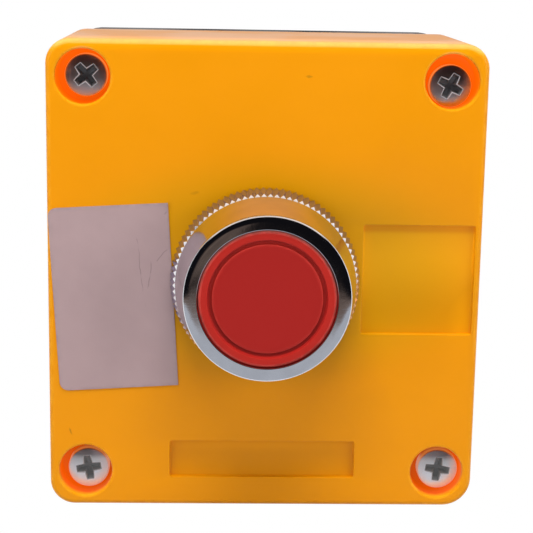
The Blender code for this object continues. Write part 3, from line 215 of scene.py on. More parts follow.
class LabelSizes(bpy.types.PropertyGroup):
    """Size, place and colour of the bare sticker."""
    width: length("Width", "Width of the sticker", 0.0191)
    height: length("Height", "Height of the sticker", 0.0299)
    across: length("Across", "Middle of the sticker, from the middle of the face", -0.02422)
    up: length("Up", "Middle of the sticker, above the middle of the face", -0.00304)
    thickness: length("Thickness", "Thickness of the sticker", 0.00014)
    corner: length("Corner radius", "Radius of the two round corners", 0.0014)
    tilt: angle("Tilt", "How far the sticker is turned", 3.4)
    paper: colour("Paper", "Colour of the sticker", shade(184, 158, 160))


class StudioSizes(bpy.types.PropertyGroup):
    """Camera, lamps and floor."""
    camera_place: FloatVectorProperty(
        name="Camera place", description="Where the camera stands", size=3, subtype="TRANSLATION",
        unit="LENGTH", default=(-0.007234, -0.276312, 0.047091),
    )
    camera_yaw: angle("Camera yaw", "Turn of the camera about the upright", -1.923)
    camera_pitch: angle("Camera pitch", "How far the camera looks up", -11.417)
    camera_roll: angle("Camera roll", "Roll of the camera", 0.996)
    camera_lens: FloatProperty(
        name="Lens", description="Focal length on a 36 mm sensor", default=95.479, unit="CAMERA",
    )
    lamp_top: FloatProperty(
        name="Top lamp", description="Power of the lamp above", default=2.2, subtype="POWER",
    )
    lamp_side: FloatProperty(
        name="Side lamps", description="Power of each side lamp", default=0.31, subtype="POWER",
    )
    sky: FloatProperty(name="Sky", description="Strength of the light from all round", default=0.12)


class BoxSettings(bpy.types.PropertyGroup):
    """All the settings of the wall box."""
    lid: PointerProperty(type=LidSizes)
    base: PointerProperty(type=BaseSizes)
    bezel: PointerProperty(type=BezelSizes)
    cap: PointerProperty(type=CapSizes)
    screws: PointerProperty(type=ScrewSizes)
    label: PointerProperty(type=LabelSizes)
    studio: PointerProperty(type=StudioSizes)


# Outlines


def arc(centre, radius, start, stop, steps):
    """Points on an arc, both ends included."""
    points = []
    for step in range(steps + 1):
        turn = start + (stop - start) * step / steps
        points.append((centre[0] + radius * math.cos(turn), centre[1] + radius * math.sin(turn)))
    return points


def circle(centre, radius, steps):
    return arc(centre, radius, 0.0, 2.0 * math.pi * (steps - 1) / steps, steps - 1)


def rounded_outline(half_width, half_height, radii, centre=(0.0, 0.0), steps=CORNER_STEPS):
    """A rounded rectangle, anticlockwise from its top right corner, with one radius or four."""
    points = []
    for quarter, (side, level) in enumerate(((1, 1), (-1, 1), (-1, -1), (1, -1))):
        radius = radii[quarter] if isinstance(radii, tuple) else radii
        corner = (centre[0] + side * (half_width - radius), centre[1] + level * (half_height - radius))
        points += arc(corner, radius, quarter * QUARTER, (quarter + 1) * QUARTER, steps)
    return points


def cavity_outline(half_width, half_height, post_centre, post_radius):
    """The inside of the lid, which goes round the screw posts in its corners."""
    across = half_width - post_centre[0]
    up = half_height - post_centre[1]
    low_turn = -math.acos(across / post_radius)
    high_turn = math.pi - math.asin(up / post_radius)
    bite = arc(post_centre, post_radius, low_turn, high_turn - 2.0 * math.pi, CORNER_STEPS)
    points = []
    for side, level in ((1, 1), (-1, 1), (-1, -1), (1, -1)):
        corner = [(side * x, level * y) for x, y in bite]
        points += corner if side * level > 0 else corner[::-1]
    return points


def notched_circle(radius, half_notch, reach, steps):
    """A circle with a square notch at its top."""
    half_turn = math.asin(half_notch / radius)
    points = arc((0.0, 0.0), radius, QUARTER + half_turn, 2.5 * math.pi - half_turn, steps)
    return points + [(half_notch, reach), (-half_notch, reach)]


# Meshes


def mesh_data(shape, name):
    """The plain mesh of a shape, which is then freed."""
    data = bpy.data.meshes.new(name)
    shape.to_mesh(data)
    shape.free()
    return data


def merged_solid(node, name):
    """A copy of a solid's mesh in the axes of the box, with its loose triangles joined."""
    solid = frame["nodes"][node]
    shape = bmesh.new()
    shape.from_mesh(solid.data)
    shape.transform(STAND.inverted() @ solid.matrix_world)
    bmesh.ops.remove_doubles(shape, verts=shape.verts, dist=MERGE)
    return mesh_data(shape, name)


class Shape:
    """A mesh in the making, in the axes of the box.

    Its edge layer marks edges that get painted highlights, and the darker edges of the sticker. Its deep
    layer marks the walls of the wells, the disc of the cap, the cone of the ring nut and the inside of a
    cross. Its thin layer marks the recesses, where painted light stands for light through the lid and
    painted shade fills the rest, and the groove of the cap, which gets painted shade.
    """

    def __init__(self):
        self.mesh = bmesh.new()
        self.layers = [self.mesh.verts.layers.float.new(name) for name in ("edge", "deep", "thin")]

    def point(self, place, *marks):
        """A point with its edge, deep and thin marks. Those that aren't given are nought."""
        vert = self.mesh.verts.new(place)
        for layer, level in zip(self.layers, marks):
            vert[layer] = level
        return vert

    def loop(self, points, height, *marks):
        return [self.point((x, y, height), *marks) for x, y in points]

    def skin(self, loops):
        """Faces between each loop and the next."""
        for first, second in zip(loops, loops[1:]):
            for index in range(len(first)):
                after = (index + 1) % len(first)
                self.mesh.faces.new((first[index], first[after], second[after], second[index]))

    def fill(self, loops):
        """A flat face that the first loop bounds and the others pierce."""
        edges = []
        for verts in loops:
            for first, second in zip(verts, verts[1:] + verts[:1]):
                pair = (first, second)
                edges.append(self.mesh.edges.get(pair) or self.mesh.edges.new(pair))
        bmesh.ops.triangle_fill(self.mesh, edges=edges, use_beauty=True, normal=(0.0, 0.0, 1.0))

    def turned(self, profile, steps, closed=False):
        """A turned body from points of radius, height and, if need be, marks.

        It closes where the radius is nought.
        """
        loops = []
        for radius, height, *marks in profile:
            outline = circle((0.0, 0.0), radius, steps) if radius > 0.0 else [(0.0, 0.0)]
            loops.append(self.loop(outline, height, *marks))
        if closed:
            loops.append(loops[0])
        for first, second in zip(loops, loops[1:]):
            if len(first) == 1 or len(second) == 1:
                tip, ring = (first[0], second) if len(first) == 1 else (second[0], first)
                for index in range(len(ring)):
                    self.mesh.faces.new((tip, ring[index], ring[(index + 1) % len(ring)]))
            else:
                self.skin([first, second])

    def block(self, low, high):
        """A plain block that is sunk into its neighbours."""
        corners = [(low[0], low[1]), (high[0], low[1]), (high[0], high[1]), (low[0], high[1])]
        loops = [self.loop(corners, low[2]), self.loop(corners, high[2])]
        self.skin(loops)
        self.mesh.faces.new(loops[0])
        self.mesh.faces.new(loops[1])

    def to_mesh(self, name):
        bmesh.ops.recalc_face_normals(self.mesh, faces=self.mesh.faces)
        return mesh_data(self.mesh, name)


def put(name, data):
    """An object of that data in the scene, unturned and at the origin."""
    item = bpy.data.objects.new(name, data)
    bpy.context.scene.collection.objects.link(item)
    return item


def add_piece(name, data, material, sharp=40.0):
    """A finished piece: the mesh stood up in the world, smooth but for its sharp edges."""
    data.transform(STAND)
    data.materials.clear()
    data.materials.append(material)
    data.shade_smooth()
    data.set_sharp_from_angle(angle=math.radians(sharp))
    return put(name, data)


def made_plain(item, name, *spent):
    """The evaluated mesh of an item, whose object and spent helpers are then taken away."""
    bpy.context.view_layer.update()
    graph = bpy.context.evaluated_depsgraph_get()
    data = bpy.data.meshes.new_from_object(item.evaluated_get(graph), depsgraph=graph)
    data.name = name
    for old in (item, *spent):
        bpy.data.objects.remove(old)
    if not data.polygons:
        raise RuntimeError(f"{name} came out empty")
    return data


# Node trees


def new_socket(tree, name, kind, default=None, way="INPUT"):
    socket = tree.interface.new_socket(name=name, in_out=way, socket_type=kind)
    if default is not None:
        socket.default_value = default
    return socket


def new_tree(name, kind, inputs, outputs):
    """A node tree with its named sockets, and its input and output nodes."""
    tree = bpy.data.node_groups.new(name, kind)
    for label, socket_kind, default in inputs:
        new_socket(tree, label, socket_kind, default)
    for label, socket_kind in outputs:
        new_socket(tree, label, socket_kind, way="OUTPUT")
    return tree, tree.nodes.new("NodeGroupInput"), tree.nodes.new("NodeGroupOutput")


def add_node(tree, kind, **settings):
    """A node of that kind. Its own settings go by their names, and its inputs by number or name."""
    node = tree.nodes.new(kind)
    inputs = settings.pop("inputs", {})
    for name, value in settings.items():
        setattr(node, name, value)
    for key, value in inputs.items():
        if isinstance(value, bpy.types.NodeSocket):
            tree.links.new(value, node.inputs[key])
        else:
            node.inputs[key].default_value = value
    return node


def calculated(tree, operation, first, second=0.0, clamp=False):
    return add_node(
        tree, "ShaderNodeMath", operation=operation, use_clamp=clamp, inputs={0: first, 1: second},
    ).outputs[0]


def times(tree, first, *others):
    for other in others:
        first = calculated(tree, "MULTIPLY", first, other)
    return first


def larger(tree, first, second):
    return calculated(tree, "MAXIMUM", first, second)


def vectored(tree, operation, first, second=(0.0, 0.0, 0.0)):
    """The outputs of one sum with vectors."""
    node = add_node(tree, "ShaderNodeVectorMath", operation=operation, inputs={0: first, 1: second})
    return node.outputs


def ramped(tree, value, low, high, out_low=0.0, out_high=1.0):
    node = add_node(tree, "ShaderNodeMapRange", interpolation_type="SMOOTHSTEP", inputs={
        "Value": value, "From Min": low, "From Max": high, "To Min": out_low, "To Max": out_high,
    })
    return node.outputs["Result"]


def mixed(tree, share, first, second, mode="MIX"):
    """Two colours mixed. One that is a property's own is taken as plain numbers."""
    first, second = (
        item if isinstance(item, bpy.types.NodeSocket) else tuple(item) for item in (first, second)
    )
    node = add_node(tree, "ShaderNodeMix", data_type="RGBA", blend_type=mode, inputs={
        0: share, 6: first, 7: second,
    })
    return node.outputs[2]


def place_of(tree):
    return add_node(tree, "ShaderNodeTexCoord").outputs["Object"]


def place_parts(tree):
    """X, Y and Z of the point that is shaded."""
    return add_node(tree, "ShaderNodeSeparateXYZ", inputs={0: place_of(tree)}).outputs


def mark(tree, name):
    """One of the marks that a shape keeps on its points."""
    return add_node(tree, "ShaderNodeAttribute", attribute_name=name).outputs["Fac"]


def noise(tree, place, scale, detail=3.0, roughness=0.5):
    return add_node(tree, "ShaderNodeTexNoise", inputs={
        "Vector": place, "Scale": scale, "Detail": detail, "Roughness": roughness,
    }).outputs["Fac"]


def grain_group():
    """Fine moulded grain, and broad soft patches."""
    tree, source, sink = new_tree(
        "moulded_grain", "ShaderNodeTree",
        [("Grain Scale", "NodeSocketFloat", 2600.0), ("Patch Scale", "NodeSocketFloat", 60.0)],
        [("Height", "NodeSocketFloat"), ("Patches", "NodeSocketFloat")],
    )
    place = place_of(tree)
    fine = noise(tree, place, source.outputs["Grain Scale"], 4.0, 0.6)
    broad = noise(tree, place, source.outputs["Patch Scale"], 3.0, 0.5)
    tree.links.new(fine, sink.inputs["Height"])
    tree.links.new(ramped(tree, broad, 0.3, 0.7), sink.inputs["Patches"])
    return tree


def wear_and_sheen_group():
    """A mask along the marked edges, broken up by noise: painted highlight on the lid and the cap,
    darker edges on the sticker.
    """
    tree, source, sink = new_tree(
        "edge_wear_and_sheen", "ShaderNodeTree",
        [("Amount", "NodeSocketFloat", 0.5), ("Breakup Scale", "NodeSocketFloat", 500.0)],
        [("Mask", "NodeSocketFloat")],
    )
    breakup = noise(tree, place_of(tree), source.outputs["Breakup Scale"], 4.0, 0.65)
    edge_mask = times(tree, mark(tree, "edge"), ramped(tree, breakup, 0.35, 0.65), source.outputs["Amount"])
    tree.links.new(edge_mask, sink.inputs["Mask"])
    return tree


def scratch_group():
    """Thin random scratches in two directions, and small pits."""
    tree, source, sink = new_tree(
        "scratches", "ShaderNodeTree",
        [("Scale", "NodeSocketFloat", 160.0), ("Amount", "NodeSocketFloat", 1.0)],
        [("Mask", "NodeSocketFloat"), ("Pits", "NodeSocketFloat")],
    )
    place = place_of(tree)
    found = 0.0
    for turn, stretch in ((0.5, (14.0, 1.0, 1.0)), (-0.9, (1.0, 1.0, 18.0))):
        laid = add_node(tree, "ShaderNodeMapping", inputs={
            "Vector": place, "Rotation": (turn, turn * 0.7, turn * 0.4), "Scale": stretch,
        }).outputs[0]
        lines = ramped(tree, noise(tree, laid, source.outputs["Scale"], 2.0, 0.4), 0.62, 0.70)
        found = larger(tree, found, lines)
    pits = ramped(tree, noise(tree, place, 1900.0, 2.0, 0.5), 0.66, 0.74)
    for mask, name in ((found, "Mask"), (pits, "Pits")):
        tree.links.new(times(tree, mask, source.outputs["Amount"]), sink.inputs[name])
    return tree


def spot_tree(name, *sizes):
    """A tree for one mark at a given place and turn.

    It comes with its inputs, its mask, the point that is shaded, and that point's X and Z in the mark.
    """
    tree, source, sink = new_tree(
        name, "ShaderNodeTree",
        [("Place", "NodeSocketVector", None), ("Turn", "NodeSocketFloat", 0.0), *sizes],
        [("Mask", "NodeSocketFloat")],
    )
    place = place_of(tree)
    offset = vectored(tree, "SUBTRACT", place, source.outputs["Place"])[0]
    turned = add_node(tree, "ShaderNodeVectorRotate", rotation_type="Y_AXIS", inputs={
        "Vector": offset, "Angle": source.outputs["Turn"],
    }).outputs[0]
    parts = add_node(tree, "ShaderNodeSeparateXYZ", inputs={0: turned}).outputs
    return tree, source.outputs, sink.inputs["Mask"], place, parts["X"], parts["Z"]


def crease_group():
    """One thin wavy crease, broken here and there, that runs up and down through a given place."""
    tree, given, mask, place, across, along = spot_tree(
        "crease", ("Half Length", "NodeSocketFloat", 0.004), ("Sway", "NodeSocketFloat", 0.0018),
    )
    sway = calculated(tree, "SUBTRACT", noise(tree, place, 240.0, 2.0, 0.5), 0.5)
    sway = times(tree, sway, given["Sway"])
    gap = calculated(tree, "ABSOLUTE", calculated(tree, "ADD", across, sway))
    reach = calculated(tree, "DIVIDE", calculated(tree, "ABSOLUTE", along), given["Half Length"])
    line = ramped(tree, gap, 0.00003, 0.00010, 1.0, 0.0)
    ends = ramped(tree, reach, 0.8, 1.0, 1.0, 0.0)
    broken = ramped(tree, noise(tree, place, 520.0, 2.0, 0.5), 0.40, 0.55)
    tree.links.new(times(tree, line, ends, broken), mask)
    return tree


def scuff_group():
    """One short mark of ragged outline at a given place."""
    tree, given, mask, place, right, up = spot_tree(
        "scuff_mark", ("Half Length", "NodeSocketFloat", 0.001),
        ("Half Width", "NodeSocketFloat", 0.0004),
    )
    along = calculated(tree, "DIVIDE", right, given["Half Length"])
    across = calculated(tree, "DIVIDE", up, given["Half Width"])
    reach = calculated(tree, "ADD", times(tree, along, along), times(tree, across, across))
    ragged = calculated(tree, "ADD", reach, times(tree, noise(tree, place, 2200.0, 4.0, 0.7), 1.6))
    tree.links.new(ramped(tree, ragged, 0.7, 1.5, 1.0, 0.0), mask)
    return tree


GROUPS = {}


def group_node(tree, name, **inputs):
    """A shared effect in a material. Its tree is built the first time it is asked for."""
    builders = {
        "moulded_grain": grain_group, "edge_wear_and_sheen": wear_and_sheen_group, "scratches": scratch_group,
        "scuff_mark": scuff_group, "crease": crease_group,
    }
    if name not in GROUPS:
        GROUPS[name] = builders[name]()
    node = tree.nodes.new("ShaderNodeGroup")
    node.node_tree = GROUPS[name]
    for key, value in inputs.items():
        node.inputs[key.replace("_", " ")].default_value = value
    return node


def new_finish(name, roughness, metallic=0.0, **plain):
    """A material with its tree and shader. Plain values go onto the shader's own sockets."""
    material = bpy.data.materials.new(name)
    material.use_nodes = True
    tree = material.node_tree
    shader = next(node for node in tree.nodes if node.type == "BSDF_PRINCIPLED")
    shader.inputs["Roughness"].default_value = roughness
    shader.inputs["Metallic"].default_value = metallic
    for key, value in plain.items():
        shader.inputs[key.replace("_", " ")].default_value = value
    return material, tree, shader


def add_bump(tree, shader, height, distance, strength=1.0):
    bump = add_node(tree, "ShaderNodeBump", inputs={
        "Height": height, "Distance": distance, "Strength": strength,
    })
    tree.links.new(bump.outputs["Normal"], shader.inputs["Normal"])


def darker(tint, share):
    return (*(level * share for level in tint[:3]), 1.0)


def base_tint(shader):
    """What feeds the shader's colour so far."""
    return shader.inputs["Base Color"].links[0].from_socket


def set_tint(tree, shader, tint):
    tree.links.new(tint, shader.inputs["Base Color"])


def set_glow(tree, shader, light):
    """Painted light: emission that stands for light through thin plastic and for light caught on edges.
    """
    tree.links.new(light, shader.inputs["Emission Color"])
    shader.inputs["Emission Strength"].default_value = 1.0


def plastic_finish(
    name, tint, roughness, grain=2600.0, depth=0.000006, patch=0.06, edge_sheen=0.35, lighten=1.25,
):
    """Moulded plastic: fine grain, soft patches of tone, and edges painted lighter as painted highlight.
    """
    material, tree, shader = new_finish(name, roughness, Specular_IOR_Level=0.3)
    grained = group_node(tree, "moulded_grain", Grain_Scale=grain, Patch_Scale=55.0).outputs
    edge_mask = group_node(tree, "edge_wear_and_sheen", Amount=edge_sheen, Breakup_Scale=520.0).outputs["Mask"]
    patched = mixed(tree, grained["Patches"], darker(tint, 1.0 - patch), tint)
    pale = (*(min(1.0, level * lighten + 0.02) for level in tint[:3]), 1.0)
    set_tint(tree, shader, mixed(tree, edge_mask, patched, pale))
    cloudy = ramped(tree, grained["Patches"], 0.0, 1.0, roughness - 0.04, roughness + 0.05)
    tree.links.new(cloudy, shader.inputs["Roughness"])
    add_bump(tree, shader, grained["Height"], depth)
    return material, tree, shader


def metal_finish(name, tint, roughness, scratch=0.6, pit=0.4, scale=160.0, depth=0.000004):
    """Metal: scratches that are rougher and duller than the rest, and small pits."""
    material, tree, shader = new_finish(name, roughness, 1.0)
    scratched = group_node(tree, "scratches", Scale=scale, Amount=scratch).outputs
    grained = group_node(tree, "moulded_grain", Grain_Scale=900.0, Patch_Scale=240.0).outputs
    clouded = mixed(tree, grained["Patches"], darker(tint, 0.9), tint)
    dulled = mixed(tree, times(tree, scratched["Pits"], pit), clouded, darker(tint, 0.35))
    set_tint(tree, shader, dulled)
    rough = times(tree, scratched["Mask"], 0.22)
    cloudy = ramped(tree, grained["Patches"], 0.0, 1.0, roughness * 0.8, roughness * 1.25)
    tree.links.new(calculated(tree, "ADD", cloudy, rough, clamp=True), shader.inputs["Roughness"])
    add_bump(tree, shader, calculated(tree, "SUBTRACT", grained["Height"], scratched["Mask"]), depth)
    return material, tree, shader


def oval_reach(tree, centre, stretch):
    """How far a point of the lid lies from a centre, each axis stretched by its own factor."""
    offset = vectored(tree, "SUBTRACT", place_of(tree), centre)[0]
    return vectored(tree, "LENGTH", vectored(tree, "MULTIPLY", offset, stretch)[0])["Value"]


def screw_finish(sizes):
    """Plated steel with painted shade inside the cross, and painted light on its edges and on the lower
    heads.
    """
    material, tree, shader = metal_finish(
        "screw_zinc", sizes.zinc, 0.36, scratch=0.3, pit=0.4, scale=420.0, depth=0.000002,
    )
    # Painted shade inside the cross: darker and less metallic
    deep = mark(tree, "deep")
    set_tint(tree, shader, mixed(tree, deep, base_tint(shader), sizes.cross_shade))
    tree.links.new(ramped(tree, deep, 0.0, 1.0, 1.0, 0.2), shader.inputs["Metallic"])
    # Painted light on the lower heads and in their crosses, and painted highlights on the rims and the
    # edges of the crosses
    height = place_parts(tree)["Z"]
    low = ramped(tree, height, 0.0, 0.001, 1.0, 0.0)
    under_band = ramped(tree, height, 0.0022 - SCREW_UP, 0.0010 - SCREW_UP)
    head = times(tree, under_band, ramped(tree, deep, 0.0, 1.0, 1.0, 0.0))
    face = mixed(tree, head, BLACK, sizes.low_light)
    face = mixed(tree, times(tree, low, deep), face, sizes.cross_haze)
    ring = times(tree, mark(tree, "edge"), ramped(tree, low, 0.0, 1.0, 1.0, 0.55))
    light = mixed(tree, deep, sizes.rim_light, sizes.cross_light)
    set_glow(tree, shader, mixed(tree, ring, face, light))
    return material


def round_top_edge(tree, shader, up):
    """Bends the light over near the top side, where the edge is softer than the others."""
    start = LID_HIGH.z - 0.0025
    run = 0.0011
    fall = 0.00018
    bump = shader.inputs["Normal"].links[0].from_node
    grain = bump.inputs["Height"].links[0].from_socket
    over = larger(tree, calculated(tree, "DIVIDE", calculated(tree, "SUBTRACT", up, start), run), 0.0)
    curve = calculated(tree, "SUBTRACT", 1.0, times(tree, over, over))
    grain = times(tree, grain, bump.inputs["Distance"].default_value / fall)
    tree.links.new(calculated(tree, "ADD", grain, curve), bump.inputs["Height"])
    bump.inputs["Distance"].default_value = fall


def lid_finish(sizes):
    """The yellow of the lid, with its few dark marks.

    Painted light stands for the light through the walls of the wells and the recesses.
    """
    # Edges and well lips painted lighter, as painted highlight
    material, tree, shader = plastic_finish(
        "lid_yellow", sizes.yellow, 0.36, patch=0.035, edge_sheen=0.55, lighten=1.3,
    )
    shader.inputs["Specular IOR Level"].default_value = 0.25
    parts = place_parts(tree)
    up = parts["Z"]
    deep = mark(tree, "deep")
    thin = mark(tree, "thin")
    # Painted shade in an oval round the ring nut, and on the walls of the wells
    near = ramped(tree, oval_reach(tree, (0.0, 0.0, 0.0015), (25.0, 0.0, 48.0)), 1.0, 0.5)
    tint = base_tint(shader)
    tint = mixed(tree, near, tint, mixed(tree, 1.0, tint, sizes.yellow_painted_shade, "DARKEN"))
    tint = mixed(tree, deep, tint, sizes.well_shade)
    # Painted glow in the wells: the upper wells lie farther from this centre than the lower ones, and
    # glow more
    reach = oval_reach(tree, (0.0, 0.0, -0.006), (1.0, 0.0, 1.0))
    glow = mixed(tree, ramped(tree, reach, 0.034, 0.052), sizes.glow_low, sizes.glow_high)
    # Painted highlight along the top edge
    top_edge = ramped(tree, up, LID_HIGH.z - 0.0024, LID_HIGH.z - 0.0012)
    caught = mixed(tree, times(tree, mark(tree, "edge"), top_edge), BLACK, sizes.edge_light)
    # Painted light on the square recess at its top and right end, and on the narrow one a little at its
    # top
    upper = ramped(tree, up, -0.006, 0.005)
    right_end = ramped(tree, parts["X"], 0.029, 0.033, 0.0, 0.4)
    low = times(tree, ramped(tree, up, -0.0295, -0.0270, 0.0, 0.4), ramped(tree, up, -0.018, -0.022))
    lit = times(tree, thin, larger(tree, larger(tree, upper, right_end), low))
    # Painted shadow in a band at the top of the square recess, and painted shade where the recesses get
    # no painted light
    band = times(tree, thin, ramped(tree, up, 0.0077, 0.0084))
    unlit = calculated(tree, "SUBTRACT", thin, lit)
    tint = mixed(tree, band, tint, sizes.band_shade, "MULTIPLY")
    tint = mixed(tree, unlit, tint, sizes.recess_shade, "MULTIPLY")
    caught = mixed(tree, lit, caught, sizes.thin_light)
    set_glow(tree, shader, mixed(tree, deep, caught, glow))
    round_top_edge(tree, shader, up)
    for x, z, turn, long, wide, strength in (
        (-0.0313, -0.0254, 1.92, 0.0009, 0.00022, 0.5), (0.0063, 0.0326, 0.0, 0.0008, 0.0003, 0.4),
        (-0.0113, 0.01405, 0.2, 0.0011, 0.0004, 0.25),
    ):
        scuffed = group_node(
            tree, "scuff_mark", Place=(x, -FACE_Z, z), Turn=turn, Half_Length=long, Half_Width=wide,
        ).outputs["Mask"]
        tint = mixed(tree, times(tree, scuffed, strength), tint, sizes.scuff)
    set_tint(tree, shader, tint)
    return material


def bezel_finish(sizes):
    """Chrome with painted shade and painted light between the ridges, painted highlights on their
    slanting ends and a painted haze of light on the cone.
    """
    material, tree, shader = metal_finish("bezel_chrome", sizes.chrome, 0.09, scratch=0.12, pit=0.5)
    parts = place_parts(tree)
    ahead = times(tree, parts["Y"], -1.0)
    slope_start = FACE_Z + sizes.shoulder - sizes.tooth_slope
    on_slope = ramped(tree, ahead, slope_start - 0.0001, slope_start + 0.0001)
    on_flank = ramped(tree, ahead, slope_start - 0.0001, slope_start + 0.0002, 1.0, 0.0)
    # Painted highlights on the slanting ends, painted light and painted shade on the flanks between the
    # ridges
    caught = mixed(tree, times(tree, mark(tree, "edge"), on_slope), BLACK, sizes.ridge_light)
    caught = mixed(tree, on_flank, caught, sizes.ridge_haze)
    shaded = mixed(tree, on_flank, base_tint(shader), sizes.ridge_shade, "MULTIPLY")
    set_tint(tree, shader, shaded)
    # Painted haze of light on the cone, fading towards the sides
    aside = calculated(tree, "ABSOLUTE", parts["X"])
    hazy = times(tree, mark(tree, "deep"), ramped(tree, aside, 0.002, 0.0085, 1.0, 0.15))
    set_glow(tree, shader, mixed(tree, hazy, caught, sizes.haze))
    return material


def cap_finish(sizes):
    """The red of the cap. Its disc is darker than its rim, and painted light stands for light through
    its skirt.
    """
    # Edges painted lighter, as painted highlight
    material, tree, shader = plastic_finish(
        "cap_red", sizes.red, 0.5, grain=3000.0, depth=0.000008, patch=0.07, edge_sheen=0.9, lighten=1.7,
    )
    parts = place_parts(tree)
    tint = base_tint(shader)
    toned = mixed(tree, mark(tree, "deep"), tint, mixed(tree, 1.0, tint, sizes.red_disc, "DARKEN"))
    # Painted shade in the groove, stronger towards the bottom
    sunk = times(tree, mark(tree, "thin"), ramped(tree, parts["Z"], 0.009, -0.007, 0.3, 1.0))
    set_tint(tree, shader, mixed(tree, sunk, toned, sizes.groove_shade, "MULTIPLY"))
    # Painted highlights on the rounded edges, stronger at the top, and painted glow on the skirt behind
    # the front
    rim = times(tree, mark(tree, "edge"), ramped(tree, parts["Z"], -0.004, 0.008, 0.6, 1.0))
    caught = mixed(tree, rim, BLACK, sizes.edge_light)
    behind = ramped(tree, parts["Y"], CAP_LOW.y + 0.0008, CAP_LOW.y + 0.0012)
    set_glow(tree, shader, mixed(tree, behind, caught, sizes.skirt))
    return material


def paper_finish(sizes):
    """Matt coated paper, with fine creases that are drawn darker, a small dark mark and darker edges."""
    material, tree, shader = new_finish("label_paper", 0.55)
    grained = group_node(tree, "moulded_grain", Grain_Scale=3400.0, Patch_Scale=110.0).outputs
    edge_mask = group_node(tree, "edge_wear_and_sheen", Amount=0.5, Breakup_Scale=700.0).outputs["Mask"]
    creased = group_node(
        tree, "scuff_mark", Place=(-0.0160, -FACE_Z, 0.0108), Turn=0.8, Half_Length=0.0005,
        Half_Width=0.0002,
    ).outputs["Mask"]
    for x, z, turn, half_length in (
        (-0.0200, 0.0030, 0.10, 0.0052), (-0.0187, -0.0008, -0.16, 0.0040),
        (-0.0165, 0.0040, -0.7, 0.0014),
    ):
        crease = group_node(tree, "crease", Place=(x, -FACE_Z, z), Turn=turn, Half_Length=half_length)
        creased = larger(tree, creased, crease.outputs["Mask"])
    toned = mixed(tree, grained["Patches"], darker(sizes.paper, 0.93), sizes.paper)
    crease_darkened = mixed(tree, times(tree, creased, 0.45), toned, darker(sizes.paper, 0.4))
    set_tint(tree, shader, mixed(tree, edge_mask, crease_darkened, darker(sizes.paper, 0.7)))
    add_bump(tree, shader, calculated(tree, "SUBTRACT", grained["Height"], creased), 0.00001)
    return material


# Pieces


WELL_WALL = 0.0013
POST_HOLE = 0.0026
RIM_BEVEL = 0.0001
# The middle, half width and half height of the square and the narrow recess
RECESSES = (((0.0246, 0.0003), 0.0090, 0.00895), ((0.0, -0.0300), 0.01515, 0.0031))
RECESS_CORNER = 0.0004
# Radius, half width of the notch and its reach
OPENING = (0.01125, 0.0016, 0.0129)
RIB_LEVEL = 0.0150
RIB_HALF_WIDTH = 0.0007
RIB_HEIGHT = 0.0016
RIB_LENGTH = 0.0220
RIB_SUNK = 0.0010


